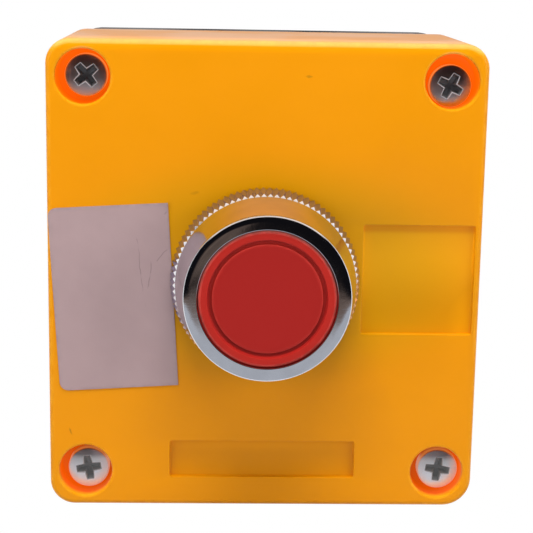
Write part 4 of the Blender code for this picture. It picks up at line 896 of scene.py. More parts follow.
def build_lid(sizes):
    """The lid with its wells, recesses, button opening, wells' posts and ribs, as one wall."""
    half_width = (LID_HIGH.x - LID_LOW.x) / 2.0 - sizes.draft
    half_height = (LID_HIGH.z - LID_LOW.z) / 2.0 - sizes.draft
    depth = FACE_Z - RIM_Z
    slope = sizes.draft / depth
    ceiling = FACE_Z - sizes.wall
    corners = (sizes.corner, sizes.corner, sizes.corner, sizes.corner_low)
    shape = Shape()

    def outer(inset, height, *marks):
        grown = slope * (FACE_Z - height) - inset
        radii = tuple(max(corner - inset, 0.001) for corner in corners)
        points = rounded_outline(half_width + grown, half_height + grown, radii)
        sink = sizes.top_sink * (FACE_Z - height) / depth
        return shape.loop([(x, y - sink if y > 0.0 else y) for x, y in points], height, *marks)

    def inner(height):
        grown = slope * (FACE_Z - height) - sizes.wall
        return shape.loop(cavity_outline(
            half_width + grown, half_height + grown, (SCREW_X, SCREW_UP), sizes.well_radius + WELL_WALL,
        ), height)

    sides = [outer(sizes.edge_round + 0.00002, FACE_Z)]
    for step in range(ROUND_STEPS + 1):
        turn = QUARTER * step / ROUND_STEPS
        inset = sizes.edge_round * (1.0 - math.sin(turn))
        height = FACE_Z - sizes.edge_round * (1.0 - math.cos(turn))
        sides.append(outer(inset, height, math.sin(2.0 * turn)))
    sides += [
        outer(0.0, FACE_Z - sizes.edge_round - 0.0003), outer(0.0, RIM_Z + 5.0 * RIM_BEVEL),
        outer(0.0, RIM_Z + RIM_BEVEL, 0.6), outer(RIM_BEVEL, RIM_Z, 0.6),
    ]
    shape.skin(sides)
    cavity = [inner(RIM_Z), inner(RIM_Z + 0.001), inner(ceiling)]
    shape.skin(cavity)

    # Radius, depth, edge mark and deep mark, down the wall of a well and through its post
    lip = sizes.lip
    radius = sizes.well_radius
    well = (
        (radius + 1.25 * lip, 0.0, 0.0, 0.0), (radius + lip, 0.0, 0.7, 0.0),
        (radius + 0.3 * lip, 0.3 * lip, 0.8, 0.0), (radius, lip, 0.4, 0.05), (radius, 0.0009, 0.0, 0.25),
        (radius, 0.0017, 0.0, 1.0), (radius, sizes.well_depth - lip, 0.0, 1.0),
        (radius - 0.3 * lip, sizes.well_depth - 0.3 * lip, 0.0, 1.0),
        (radius - lip, sizes.well_depth, 0.0, 1.0), (POST_HOLE, sizes.well_depth, 0.0, 1.0),
        (POST_HOLE, depth, 0.0, 0.0),
    )
    pierced = []
    rim_holes = []
    for place in [(side * SCREW_X, level * SCREW_UP) for side in (-1, 1) for level in (-1, 1)]:
        loops = [
            shape.loop(circle(place, reach, WELL_TURN), FACE_Z - down, *marks)
            for reach, down, *marks in well
        ]
        shape.skin(loops)
        pierced.append(loops[0])
        rim_holes.append(loops[-1])

    # Spread, depth, edge mark and thin mark, down the rim of a recess
    floor = sizes.recess_depth
    recess = (
        (0.00012, 0.0, 0.0, 0.0), (0.00007, 0.00001, 1.0, 0.0), (0.00003, 0.00003, 1.0, 0.0),
        (0.0, 0.0001, 0.3, 0.5), (0.0, floor - 0.0002, 0.0, 1.0), (-0.00006, floor - 0.00006, 0.0, 1.0),
        (-0.0002, floor, 0.0, 1.0),
    )
    for centre, across, up in RECESSES:
        loops = []
        for spread, down, edge, thin in recess:
            corner = RECESS_CORNER + max(spread, -0.0001)
            points = rounded_outline(across + spread, up + spread, corner, centre, 4)
            loops.append(shape.loop(points, FACE_Z - down, edge, 0.0, thin))
        shape.skin(loops)
        shape.fill([loops[-1]])
        pierced.append(loops[0])

    opening = [shape.loop(notched_circle(*OPENING, 96), height) for height in (FACE_Z, ceiling)]
    shape.skin(opening)
    shape.fill([sides[0], *pierced, opening[0]])
    shape.fill([cavity[-1], opening[1]])
    shape.fill([sides[-1], cavity[0], *rim_holes])

    reach = half_width - sizes.wall
    for side in (-1, 1):
        for level in (-RIB_LEVEL, RIB_LEVEL):
            near, far = sorted((side * (reach - RIB_HEIGHT), side * (reach + RIB_SUNK)))
            shape.block(
                (near, level - RIB_HALF_WIDTH, ceiling - RIB_LENGTH),
                (far, level + RIB_HALF_WIDTH, ceiling + RIB_SUNK),
            )
    piece = add_piece("lid_shell", shape.to_mesh("lid_shell"), lid_finish(sizes))
    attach(piece, "root")
    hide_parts("lid")


def build_base(sizes):
    """The tray on the wall: its solid with the facets of the rounds smoothed."""
    data = merged_solid("base", "base_tray")
    top_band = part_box("base")[1].z - 0.0010
    for vert in data.vertices:
        if vert.co.y > top_band:
            vert.co.y -= sizes.top_sink
    material = plastic_finish("tray_black", sizes.black, 0.5, grain=1800.0, depth=0.00001, edge_sheen=0.0)[0]
    piece = add_piece("base_tray", data, material, 30.0)
    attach(piece, "root")
    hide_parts("base")


FOOT_REAR = 0.0003
TOOTH_SUNK = 0.00004


def tooth_mesh(sizes):
    """One ridge of the foot, pointing along X, with its front end cut back to the cone."""
    shape = Shape()

    def corner(radius, turn, height, *marks):
        return shape.point((radius * math.cos(turn), radius * math.sin(turn), height), *marks)

    turns = (math.pi / sizes.teeth, -math.pi / sizes.teeth)
    foot = sizes.foot_radius - sizes.tooth_depth - TOOTH_SUNK
    shoulder = sizes.shoulder_radius - TOOTH_SUNK
    rear_left, rear_right = [corner(foot, turn, FOOT_REAR) for turn in turns]
    rear_tip = corner(sizes.foot_radius, 0.0, FOOT_REAR, 1.0)
    front_left, front_right = [corner(shoulder, turn, sizes.shoulder) for turn in turns]
    tip_radius = sizes.shoulder_radius + sizes.tooth_depth
    front_tip = corner(tip_radius, 0.0, sizes.shoulder - sizes.tooth_slope, 1.0)
    for face in (
        (rear_left, rear_tip, rear_right), (rear_left, front_left, front_tip, rear_tip),
        (rear_tip, front_tip, front_right, rear_right), (front_left, front_right, front_tip),
        (rear_left, rear_right, front_right, front_left),
    ):
        shape.mesh.faces.new(face)
    return shape.to_mesh("tooth")


def copies(tree, spots, item, turn):
    """An item on every spot, turned about the upright axis of the mesh."""
    axis = add_node(tree, "ShaderNodeCombineXYZ", inputs={"Z": turn}).outputs[0]
    rotation = add_node(tree, "FunctionNodeEulerToRotation", inputs={0: axis}).outputs[0]
    shape = add_node(tree, "GeometryNodeObjectInfo", inputs={"Object": item}).outputs["Geometry"]
    return add_node(tree, "GeometryNodeInstanceOnPoints", inputs={
        "Points": spots, "Instance": shape, "Rotation": rotation,
    }).outputs[0]


def end_tree(tree, geometry, finish, sink):
    """Ends a tree in plain geometry of one finish."""
    solid = add_node(tree, "GeometryNodeRealizeInstances", inputs={"Geometry": geometry}).outputs[0]
    coated = add_node(tree, "GeometryNodeSetMaterial", inputs={"Geometry": solid, "Material": finish})
    tree.links.new(coated.outputs[0], sink.inputs[0])
    return tree


def knurl_tree():
    """Sets a tooth round a circle as often as asked, and joins the ring to the turned body."""
    tree, source, sink = new_tree(
        "knurled_foot", "GeometryNodeTree",
        [("Body", "NodeSocketGeometry", None), ("Tooth", "NodeSocketObject", None),
         ("Teeth", "NodeSocketInt", 90), ("Finish", "NodeSocketMaterial", None)],
        [("Geometry", "NodeSocketGeometry")],
    )
    given = source.outputs
    spots = add_node(tree, "GeometryNodePoints", inputs={"Count": given["Teeth"]}).outputs[0]
    step = calculated(tree, "DIVIDE", 2.0 * math.pi, given["Teeth"])
    turn = times(tree, add_node(tree, "GeometryNodeInputIndex").outputs[0], step)
    joined = add_node(tree, "GeometryNodeJoinGeometry", inputs={"Geometry": given["Body"]})
    tree.links.new(copies(tree, spots, given["Tooth"], turn), joined.inputs[0])
    return end_tree(tree, joined.outputs[0], given["Finish"], sink)


def run_tree(item, tree, **values):
    """Puts a tree on an item. Its inputs go by name, each through its socket's identifier."""
    modifier = item.modifiers.new(tree.name, "NODES")
    modifier.node_group = tree
    for socket in tree.interface.items_tree:
        if socket.item_type == "SOCKET" and socket.in_out == "INPUT" and socket.name in values:
            modifier[socket.identifier] = values[socket.name]


FOOT_HOLLOW = (0.0140, 0.0019)
SLEEVE = (0.0113, 0.0050)
FRONT_STEPS = 20


def build_bezel(sizes):
    """The ring nut: a turned body on a foot of ridges."""
    height = -BEZEL_LOW.y - FACE_Z
    neck = height - sizes.ring_width
    foot = sizes.foot_radius - sizes.tooth_depth
    inner = sizes.bore + 0.00012
    outer = sizes.ring_radius - sizes.ring_bevel
    level = height - 0.000002
    profile = [
        (sizes.bore, SLEEVE[1] + 0.0003), (sizes.bore, height - 0.0005), (sizes.bore, height - 0.00009),
        (sizes.bore + 0.00003, height - 0.00002), (sizes.bore + 0.00009, height), (inner, level),
    ]
    for step in range(FRONT_STEPS):
        lean = math.radians(3.0 + 42.0 * ((step + 0.5) / FRONT_STEPS) ** 4)
        level -= (outer - inner) / FRONT_STEPS * math.tan(lean)
        profile.append((inner + (outer - inner) * (step + 1) / FRONT_STEPS, level))
    level -= sizes.ring_bevel * math.tan(math.radians(52.0))
    ring = sizes.ring_radius
    shoulder = sizes.shoulder_radius
    profile += [
        (ring, level), (ring, level - 0.00004), (ring, neck + 0.0002), (ring - 0.00006, neck + 0.0001),
        (sizes.neck_radius + 0.00006, neck), (sizes.neck_radius, neck - 0.0001, 0.0, 1.0),
        (shoulder - 0.00012, sizes.shoulder + 0.0004, 0.0, 1.0),
        (shoulder, sizes.shoulder + 0.00012, 0.0, 1.0), (shoulder, sizes.shoulder),
        (foot, FOOT_REAR + 0.0003), (foot - 0.0001, FOOT_REAR), (FOOT_HOLLOW[0], FOOT_REAR), FOOT_HOLLOW,
        (SLEEVE[0], FOOT_HOLLOW[1]), SLEEVE,
    ]
    shape = Shape()
    shape.turned(profile, 2 * sizes.teeth, closed=True)
    material = bezel_finish(sizes)
    body = put("bezel_body", shape.to_mesh("bezel_body"))
    tooth = put("bezel_tooth", tooth_mesh(sizes))
    run_tree(body, knurl_tree(), Tooth=tooth, Teeth=sizes.teeth, Finish=material)
    data = made_plain(body, "bezel_chromed", tooth)
    data.transform(Matrix.Translation((0.0, 0.0, FACE_Z)))
    piece = add_piece("bezel_chromed", data, material, 24.0)
    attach(piece, "root")
    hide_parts("bezel_ring")


SKIRT = 0.0049
SKIRT_WALL = 0.0012
DISC_WALL = 0.0017
SPIGOT_RADIUS = 0.0030
CAP_ROUND_STEPS = 8


def build_cap(sizes):
    """The push cap: a raised rim, a ring groove and a flat disc, with skirt and spigot behind."""
    front = -CAP_LOW.y
    rear = -CAP_HIGH.y
    radius = (CAP_HIGH.x - CAP_LOW.x) / 2.0
    disc = front - sizes.disc_sink
    floor = front - sizes.groove_depth
    underside = disc - DISC_WALL
    inner = sizes.groove_inner
    outer = sizes.groove_outer
    profile = [(0.0, disc, 0.0, 1.0)]
    for share in (0.25, 0.5, 0.75, 0.94):
        profile.append((inner * share, disc + 0.00003 * share ** 2, 0.0, 1.0))
    profile += [
        (inner - 0.00018, disc + 0.00003, 0.1, 0.7), (inner - 0.00006, disc - 0.00002, 0.5, 0.2),
        (inner, disc - 0.00012, 0.0, 0.0, 0.6), (inner + 0.00002, floor + 0.0001, 0.0, 0.0, 1.0),
        (inner + 0.00012, floor, 0.0, 0.0, 1.0), (outer - 0.00018, floor, 0.0, 0.0, 1.0),
        (outer - 0.00006, floor + 0.0001, 0.0, 1.0), (outer, front - 0.00010, 0.0, 1.0),
        (outer + 0.00003, front - 0.00003, 0.0, 1.0), (outer + 0.0001, front), (outer + 0.0004, front),
        (radius - sizes.edge_round - 0.0001, front),
    ]
    for step in range(CAP_ROUND_STEPS + 1):
        turn = QUARTER * step / CAP_ROUND_STEPS
        profile.append((
            radius - sizes.edge_round + sizes.edge_round * math.sin(turn),
            front - sizes.edge_round + sizes.edge_round * math.cos(turn), math.sin(2.0 * turn),
        ))
    profile += [
        (radius, front - sizes.edge_round - 0.0002), (radius, front - 0.0012), (radius, front - SKIRT),
        (radius - SKIRT_WALL, front - SKIRT), (radius - SKIRT_WALL, underside),
        (SPIGOT_RADIUS, underside), (SPIGOT_RADIUS, rear), (0.0, rear),
    ]
    shape = Shape()
    shape.turned(profile, FINE_TURN)
    piece = add_piece("cap_red", shape.to_mesh("cap_red"), cap_finish(sizes), 35.0)
    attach(piece, "button")
    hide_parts("push_cap")


HEAD_ROUND_STEPS = 5
PITCH = 0.00127


def cross_outline(half_width, reach):
    """The outline of a cross, anticlockwise."""
    points = []
    for quarter in range(4):
        turn = Matrix.Rotation(quarter * QUARTER, 2)
        for x, y in ((reach, -half_width), (reach, half_width), (half_width * 1.25, half_width * 1.25)):
            points.append(tuple(turn @ Vector((x, y))))
    return points


def screw_body(sizes, shank_length):
    """The turned body of a pan-head screw, standing on its seat at the origin."""
    flat = sizes.head_radius - sizes.edge_round
    profile = [(0.0, sizes.head_height)]
    for share in (0.2, 0.4, 0.6, 0.8):
        profile.append((flat * share, sizes.head_height - sizes.crown * share ** 2))
    for step in range(HEAD_ROUND_STEPS + 1):
        turn = QUARTER * step / HEAD_ROUND_STEPS
        drop = sizes.crown + sizes.edge_round * (1.0 - math.cos(turn))
        profile.append((
            flat + sizes.edge_round * math.sin(turn), sizes.head_height - drop,
            max(0.0, 2.0 * math.sin(turn) - 1.3),
        ))
    profile += [
        (sizes.head_radius, 0.0001), (sizes.head_radius - 0.0001, 0.0), (sizes.shank_radius, 0.0),
    ]
    core = sizes.shank_radius * 0.76
    for index in range(int((shank_length - 0.002) / PITCH)):
        start = -0.0006 - index * PITCH
        profile += [
            (core, start), (core, start - 0.6 * PITCH), (sizes.shank_radius, start - 0.8 * PITCH),
        ]
    profile += [(sizes.shank_radius * 0.7, 0.0020 - shank_length), (0.0, -shank_length)]
    body = Shape()
    body.turned(profile, SCREW_TURN)
    return put("screw", body.to_mesh("screw"))


def cross_cutter(sizes):
    """What is cut out of a screw head for its cross."""
    half = sizes.cross_width / 2.0
    reach = sizes.cross_reach
    bevel = sizes.cross_bevel
    low = sizes.head_height - sizes.cross_depth
    crown = sizes.head_height - 0.0001
    cut = Shape()
    loops = [cut.loop(cross_outline(half_width, long), height) for half_width, long, height in (
        (half + bevel, reach + bevel, sizes.head_height + 0.0003),
        (half + bevel, reach + bevel, crown + 0.00001), (half, reach, crown - bevel),
        (half * 0.94, reach * 0.97, crown - 2.5 * bevel), (half * 0.74, reach * 0.80, low),
        (half * 0.4, reach * 0.20, low - 0.0004),
    )]
    cut.skin(loops)
    cut.fill([loops[0]])
    cut.fill([loops[-1]])
    return put("cross", cut.to_mesh("cross"))


def screw_template(sizes, shank_length):
    """One screw with its cross, whose marks are set anew for each face's corners after the cut."""
    flat = sizes.head_radius - sizes.edge_round
    screw = screw_body(sizes, shank_length)
    cutter = cross_cutter(sizes)
    modifier = screw.modifiers.new("recess", "BOOLEAN")
    modifier.operation = "DIFFERENCE"
    modifier.solver = "EXACT"
    modifier.object = cutter
    data = made_plain(screw, "screw_with_cross", cutter)
    edge_mask = [item.value for item in data.attributes["edge"].data]
    for name in ("edge", "deep"):
        data.attributes.remove(data.attributes[name])
    for name in ("edge", "deep"):
        data.attributes.new(name, "FLOAT", "CORNER")
    edges = data.attributes["edge"].data
    deeps = data.attributes["deep"].data
    for face in data.polygons:
        out = math.hypot(face.center.x, face.center.y)
        depth = sizes.head_height - sizes.crown * (out / flat) ** 2 - face.center.z
        inside = out < sizes.cross_reach + 2.0 * sizes.cross_bevel and face.center.z > 0.0002
        deep = inside and depth > 1.1 * sizes.cross_bevel
        bevelled = inside and not deep and face.normal.z < 0.93
        for corner in face.loop_indices:
            own = 0.0 if deep else edge_mask[data.loops[corner].vertex_index]
            edges[corner].value = 1.0 if bevelled else own
            deeps[corner].value = 1.0 if deep or bevelled else 0.0
    return put("screw_with_cross", data)


def screw_tree():
    """Sets a screw on every point, turned by the point's own turn."""
    tree, source, sink = new_tree(
        "screw_set", "GeometryNodeTree",
        [("Points", "NodeSocketGeometry", None), ("Screw", "NodeSocketObject", None),
         ("Finish", "NodeSocketMaterial", None)],
        [("Geometry", "NodeSocketGeometry")],
    )
    given = source.outputs
    turn = add_node(
        tree, "GeometryNodeInputNamedAttribute", data_type="FLOAT", inputs={"Name": "turn"},
    ).outputs[0]
    return end_tree(tree, copies(tree, given["Points"], given["Screw"], turn), given["Finish"], sink)


def build_screws(sizes):
    """The four lid screws in their wells, each a little off the middle of its own."""
    seat = -SCREW_LOW.y - sizes.head_height
    places = [
        (0.00036 - SCREW_X, SCREW_UP + 0.0001, seat), (SCREW_X, SCREW_UP - 0.00080, seat),
        (0.00030 - SCREW_X, -SCREW_UP - 0.00030, seat), (SCREW_X + 0.00050, -SCREW_UP - 0.00025, seat),
    ]
    turns = [sizes.turn_top_left, sizes.turn_top_right, sizes.turn_low_left, sizes.turn_low_right]
    data = bpy.data.meshes.new("screw_places")
    data.from_pydata(places, [], [])
    data.attributes.new("turn", "FLOAT", "POINT").data.foreach_set("value", turns)
    points = put("screw_places", data)
    template = screw_template(sizes, seat + SCREW_HIGH.y)
    material = screw_finish(sizes)
    run_tree(points, screw_tree(), Screw=template, Finish=material)
    piece = add_piece("lid_screw_set", made_plain(points, "lid_screw_set", template), material, 32.0)
    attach(piece, "root")
    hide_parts("lid_screw_1", "lid_screw_2", "lid_screw_3", "lid_screw_4")


LABEL_COLUMNS = 44
LABEL_ROWS = 68
CORNER_ROWS = 7
CURL = 0.00022
CURL_REACH = 0.0022
RIPPLE = 0.000012


def build_label(sizes, lid_sizes):
    """The bare sticker: a thin sheet that follows the face, its round edge, and a corner that lifts."""
    half_width = sizes.width / 2.0
    half_height = sizes.height / 2.0
    flat = (LID_HIGH.x - LID_LOW.x) / 2.0 - lid_sizes.draft - lid_sizes.edge_round
    heights = [half_height * (1.0 - 2.0 * row / LABEL_ROWS) for row in range(LABEL_ROWS + 1)]
    for step in range(1, CORNER_ROWS):
        into = sizes.corner * (1.0 - math.sin(QUARTER * step / CORNER_ROWS))
        heights += [half_height - into, into - half_height]
    heights.sort(reverse=True)
    shape = Shape()

    def sheet_row(height, lift):
        into = max(0.0, abs(height) - half_height + sizes.corner)
        left = -half_width + sizes.corner - math.sqrt(max(0.0, sizes.corner ** 2 - into ** 2))
        row = []
        for column in range(LABEL_COLUMNS + 1):
            across = left + (half_width - left) * column / LABEL_COLUMNS
            spot = Matrix.Rotation(sizes.tilt, 2) @ Vector((across, height))
            x = spot.x + sizes.across
            y = spot.y + sizes.up
            over = max(0.0, abs(x) - flat)
            drop = lid_sizes.edge_round - math.sqrt(max(0.0, lid_sizes.edge_round ** 2 - over ** 2))
            corner_gap = math.hypot(half_width - across, half_height - height)
            curl = CURL * max(0.0, 1.0 - corner_gap / CURL_REACH) ** 2
            ripple = RIPPLE * (1.0 + math.sin(2100.0 * x + 900.0 * y) * math.sin(1300.0 * y - 500.0 * x))
            rim = min(half_width - across, across - left, half_height - abs(height))
            place = (x, y, FACE_Z - drop + lift + curl + ripple)
            row.append(shape.point(place, max(0.0, 1.0 - rim / 0.0006)))
        return row

    rims = []
    for lift in (sizes.thickness, 0.00002):
        rows = [sheet_row(height, lift) for height in heights]
        for upper, lower in zip(rows, rows[1:]):
            for left in range(LABEL_COLUMNS):
                right = left + 1
                shape.mesh.faces.new((upper[left], lower[left], lower[right], upper[right]))
        right_side = [row[-1] for row in rows[1:]]
        left_side = [row[0] for row in rows[-2:0:-1]]
        rims.append(rows[0] + right_side + rows[-1][-2::-1] + left_side)
    shape.skin(rims)
    piece = add_piece("bare_label", shape.to_mesh("bare_label"), paper_finish(sizes), 50.0)
    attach(piece, "root")


def build_springs():
    """The springs that shorten as the button goes in, each made from its solid's own mesh at its full
    length.
    """
    steel = metal_finish("coil_steel", shade(190, 191, 194), 0.3)[0]
    for node, joint in (("return_spring", "button_press"), ("block_spring", "contact_slide")):
        data = merged_solid(node, node + "_coil")
        piece = add_piece(node + "_coil", data, steel)
        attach(piece, "root")
        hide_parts(node)
        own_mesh(piece)


def dress_inner():
    """Finishes for the solids that keep their own shape."""
    steel = metal_finish("spring_steel", shade(186, 188, 192), 0.25)[0]
    black = plastic_finish("inner_black", shade(34, 34, 36), 0.5, edge_sheen=0.0)[0]
    block_red = plastic_finish("block_red", shade(176, 34, 28), 0.45, edge_sheen=0.0)[0]
    finishes = {
        "brass": metal_finish("brass", shade(205, 170, 96), 0.3)[0],
        "die_cast": metal_finish("die_cast", shade(150, 152, 156), 0.42, pit=0.8, depth=0.00001)[0],
        "zinc_steel": metal_finish("inner_zinc", shade(190, 191, 194), 0.3)[0],
        "rubber": plastic_finish("seal_rubber", shade(26, 26, 27), 0.75, depth=0.000012, edge_sheen=0.0)[0],
        "spring_steel": steel, "chrome": steel, "black_plastic": black, "dark_plastic": black,
        "yellow_plastic": black, "block_red": block_red, "red_plastic": block_red,
    }
    slots = {entry["node"]: entry["material_slot"] for entry in frame["record"]["subparts"]}
    for name, item in frame["nodes"].items():
        if not item.hide_render:
            item.data.materials.clear()
            item.data.materials.append(finishes[slots[name]])


# Studio


LAMP_AIM = Vector((0.0, -0.05, 0.0))
ROOM_RADIUS = 0.9


def add_lamp(name, place, size, power, tint):
    """A lamp that looks at the middle of the box and doesn't show in shiny surfaces."""
    lamp = bpy.data.lights.new(name, "AREA")
    lamp.shape = "RECTANGLE"
    lamp.size, lamp.size_y = size
    lamp.energy = power
    lamp.color = tint
    item = put(name, lamp)
    item.location = place
    item.rotation_euler = (LAMP_AIM - Vector(place)).to_track_quat("-Z", "Y").to_euler()
    item.visible_glossy = False


def build_camera(sizes):
    """The camera of the photo, turned by its yaw, then its pitch, then its roll."""
    camera = bpy.data.cameras.new("photo_camera")
    camera.sensor_width = 36.0
    camera.lens = sizes.camera_lens
    camera.clip_start = 0.01
    item = put("photo_camera", camera)
    side = Vector((math.cos(sizes.camera_yaw), math.sin(sizes.camera_yaw), 0.0))
    ahead = Vector((-math.sin(sizes.camera_yaw), math.cos(sizes.camera_yaw), 0.0))
    upright = Vector((0.0, 0.0, 1.0))
    forward = math.cos(sizes.camera_pitch) * ahead + math.sin(sizes.camera_pitch) * upright
    raised = math.cos(sizes.camera_pitch) * upright - math.sin(sizes.camera_pitch) * ahead
    right = math.cos(sizes.camera_roll) * side + math.sin(sizes.camera_roll) * raised
    up = math.cos(sizes.camera_roll) * raised - math.sin(sizes.camera_roll) * side
    turn = Matrix((right, up, -forward)).transposed().to_4x4()
    item.matrix_world = Matrix.Translation(sizes.camera_place) @ turn
    bpy.context.scene.camera = item


def emptied(owner, kind="Material"):
    """The tree of a material or world, with nothing in it but its output, and that output's surface."""
    owner.use_nodes = True
    tree = owner.node_tree
    tree.nodes.clear()
    return tree, tree.nodes.new("ShaderNodeOutput" + kind).inputs["Surface"]


def blended(tree, share, first, second):
    """Two shaders mixed."""
    return add_node(tree, "ShaderNodeMixShader", inputs={0: share, 1: first, 2: second}).outputs[0]


def emitting(tree, light, kind="ShaderNodeEmission", strength=1.0):
    return add_node(tree, kind, inputs={"Color": light, "Strength": strength}).outputs[0]


def floor_finish():
    """Pale floor that the camera sees as white."""
    material = bpy.data.materials.new("pale_floor")
    tree, surface = emptied(material)
    plain = add_node(tree, "ShaderNodeBsdfDiffuse", inputs={"Color": shade(190, 192, 196)}).outputs[0]
    seen = add_node(tree, "ShaderNodeLightPath").outputs["Is Camera Ray"]
    tree.links.new(blended(tree, seen, plain, emitting(tree, WHITE)), surface)
    return material


def flag_finish():
    """Thin gauze that dims the light on the top side."""
    material = bpy.data.materials.new("gauze")
    tree, surface = emptied(material)
    clear = add_node(tree, "ShaderNodeBsdfTransparent", inputs={"Color": WHITE}).outputs[0]
    dark = add_node(tree, "ShaderNodeBsdfDiffuse", inputs={"Color": (0.1, 0.1, 0.1, 1.0)}).outputs[0]
    tree.links.new(blended(tree, 0.45, clear, dark), surface)
    return material


def room_finish():
    """The dim room in front of the box, which only shiny surfaces show."""
    material = bpy.data.materials.new("dim_room")
    tree, surface = emptied(material)
    parts = place_parts(tree)
    patches = ramped(tree, noise(tree, place_of(tree), 5.0, 3.0, 0.6), 0.40, 0.60)
    across = times(tree, ramped(tree, parts["X"], 0.0, -0.06), ramped(tree, parts["X"], -0.35, -0.18))
    upward = times(tree, ramped(tree, parts["Z"], -0.165, -0.11), ramped(tree, parts["Z"], 0.14, 0.02))
    patch = times(tree, ramped(tree, patches, 0.0, 1.0, 0.35, 0.8), across, upward)
    band = ramped(tree, parts["Z"], -0.155, -0.2, 0.0, 0.6)
    warm = mixed(tree, larger(tree, patch, band), shade(18, 17, 20), shade(146, 124, 112))
    shown = mixed(tree, ramped(tree, parts["Z"], -0.215, -0.26), warm, shade(185, 187, 194))
    strip = times(tree, ramped(tree, parts["Z"], 0.50, 0.62), ramped(tree, parts["Y"], -0.34, -0.28))
    tree.links.new(emitting(tree, mixed(tree, strip, shown, (1.02, 0.88, 0.78, 1.0))), surface)
    return material


def build_world(strength):
    """White behind the box for the camera and for shiny surfaces, and soft light from all round."""
    world = bpy.data.worlds.new("soft_studio")
    bpy.context.scene.world = world
    tree, surface = emptied(world, "World")
    path = add_node(tree, "ShaderNodeLightPath").outputs
    seen = larger(
        tree, path["Is Camera Ray"], larger(tree, path["Is Glossy Ray"], path["Is Transmission Ray"]),
    )
    soft = emitting(tree, shade(250, 252, 255), "ShaderNodeBackground", strength)
    tree.links.new(blended(tree, seen, soft, emitting(tree, WHITE, "ShaderNodeBackground")), surface)


def hide_from(item, *rays):
    for ray in rays:
        setattr(item, "visible_" + ray, False)


def build_flag():
    """A sheet of gauze above the top side."""
    flag = put("flag", bpy.data.meshes.new("flag"))
    flag.data.from_pydata(
        [(-0.06, -0.052, 0.046), (0.06, -0.052, 0.046), (0.06, -0.001, 0.046), (-0.06, -0.001, 0.046)],
        [], [(0, 1, 2, 3)],
    )
    flag.data.materials.append(flag_finish())
    hide_from(flag, "camera", "glossy", "transmission")


def build_floor():
    """A floor under the box, which the camera sees as plain white."""
    shape = Shape()
    shape.fill([shape.loop(rounded_outline(1.5, 1.5, 0.2), 0.0)])
    data = shape.to_mesh("floor")
    if data.polygons[0].normal.z < 0.0:
        data.flip_normals()
    data.transform(Matrix.Translation((0.0, 0.0, min(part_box("base")[0].z, LID_LOW.z))))
    data.materials.append(floor_finish())
    sheet = put("floor", data)
    hide_from(sheet, "glossy")


def build_room():
    """Half a ball in front of the box, which only shiny surfaces show."""
    shape = Shape()
    shape.turned(arc((0.0, 0.0), ROOM_RADIUS, 0.0, QUARTER, 12)[:-1] + [(0.0, ROOM_RADIUS)], 48)
    data = shape.to_mesh("room")
    data.transform(Matrix.Rotation(QUARTER, 4, "X"))
    data.transform(Matrix.Translation((0.0, -0.02, 0.0)))
    data.materials.append(room_finish())
    card = put("room", data)
    hide_from(card, "camera", "diffuse", "shadow", "transmission")


def build_stage(sizes):
    """Camera, lamps, floor and the room that shiny surfaces show."""
    build_camera(sizes)
    add_lamp("lamp_top", (0.0, -0.22, 0.42), (0.30, 0.20), sizes.lamp_top, (1.0, 0.98, 0.95))
    for name, x in (("lamp_left", -0.25), ("lamp_right", 0.25)):
        add_lamp(name, (x, -0.20, 0.08), (0.16, 0.16), sizes.lamp_side, (1.0, 0.98, 0.96))
    build_flag()
    build_floor()
    build_room()
    build_world(sizes.sky)


# Operators and panel


class BuildStage(bpy.types.Operator):
    """Set up the camera, the lamps and the floor"""
    bl_idname = "control_box.build_stage"
    bl_label = "Build Stage"

    def execute(self, context):
        build_stage(context.scene.control_box.studio)
        return {"FINISHED"}


class BuildLid(bpy.types.Operator):
    """Make the moulded lid"""
    bl_idname = "control_box.build_lid"
    bl_label = "Build Lid"

    def execute(self, context):
        build_lid(context.scene.control_box.lid)
        return {"FINISHED"}


class BuildBase(bpy.types.Operator):
    """Make the tray on the wall"""
    bl_idname = "control_box.build_base"
    bl_label = "Build Base Tray"

    def execute(self, context):
        build_base(context.scene.control_box.base)
        return {"FINISHED"}


class BuildBezel(bpy.types.Operator):
    """Make the ring nut round the button"""
    bl_idname = "control_box.build_bezel"
    bl_label = "Build Ring Nut"

    def execute(self, context):
        build_bezel(context.scene.control_box.bezel)
        return {"FINISHED"}


class BuildCap(bpy.types.Operator):
    """Make the push cap"""
    bl_idname = "control_box.build_cap"
    bl_label = "Build Push Cap"

    def execute(self, context):
        build_cap(context.scene.control_box.cap)
        return {"FINISHED"}


class BuildScrews(bpy.types.Operator):
    """Make the four lid screws"""
    bl_idname = "control_box.build_screws"
    bl_label = "Build Lid Screws"

    def execute(self, context):
        build_screws(context.scene.control_box.screws)
        return {"FINISHED"}


class BuildLabel(bpy.types.Operator):
    """Make the bare sticker"""
    bl_idname = "control_box.build_label"
    bl_label = "Build Bare Sticker"

    def execute(self, context):
        settings = context.scene.control_box
        build_label(settings.label, settings.lid)
        return {"FINISHED"}


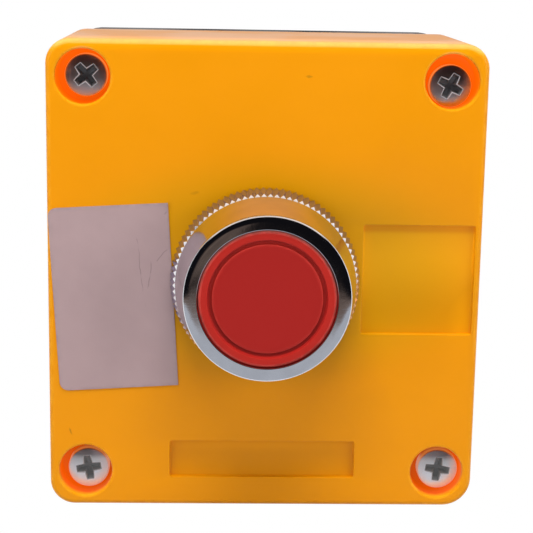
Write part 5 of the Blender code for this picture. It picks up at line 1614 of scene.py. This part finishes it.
class BuildSprings(bpy.types.Operator):
    """Make the springs that shorten with the button, at their full length"""
    bl_idname = "control_box.build_springs"
    bl_label = "Build Springs"

    def execute(self, context):
        build_springs()
        return {"FINISHED"}


class DressInner(bpy.types.Operator):
    """Give the inner solids their finishes"""
    bl_idname = "control_box.dress_inner"
    bl_label = "Dress Inner Pieces"

    def execute(self, context):
        dress_inner()
        return {"FINISHED"}


STEPS = (
    BuildStage, BuildLid, BuildBase, BuildBezel, BuildCap, BuildScrews, BuildLabel, BuildSprings,
    DressInner,
)


class CONTROL_BOX_PT_pieces(bpy.types.Panel):
    """The pieces of the wall box and their settings."""
    bl_idname = "CONTROL_BOX_PT_pieces"
    bl_label = "Control Box"
    bl_space_type = "VIEW_3D"
    bl_region_type = "UI"
    bl_category = "Control Box"

    def draw(self, context):
        for step in STEPS:
            self.layout.operator(step.bl_idname)
        settings = context.scene.control_box
        for name, group in settings.bl_rna.properties.items():
            if group.type != "POINTER" or name == "rna_type":
                continue
            box = self.layout.box()
            box.label(text=name.capitalize())
            sizes = getattr(settings, name)
            for entry in sizes.bl_rna.properties:
                if entry.identifier not in ("rna_type", "name"):
                    box.prop(sizes, entry.identifier)


CLASSES = (
    LidSizes, BaseSizes, BezelSizes, CapSizes, ScrewSizes, LabelSizes, StudioSizes, BoxSettings,
    *STEPS, CONTROL_BOX_PT_pieces,
)


def register():
    for item in CLASSES:
        bpy.utils.register_class(item)
    bpy.types.Scene.control_box = PointerProperty(type=BoxSettings)


def unregister():
    del bpy.types.Scene.control_box
    for item in reversed(CLASSES):
        bpy.utils.unregister_class(item)


def main():
    register()
    bpy.context.scene.view_settings.view_transform = "Standard"
    bpy.ops.control_box.build_stage()
    bpy.ops.control_box.build_lid()
    bpy.ops.control_box.build_base()
    bpy.ops.control_box.build_bezel()
    bpy.ops.control_box.build_cap()
    bpy.ops.control_box.build_screws()
    bpy.ops.control_box.build_label()
    bpy.ops.control_box.build_springs()
    bpy.ops.control_box.dress_inner()


if __name__ == "__main__":
    main()
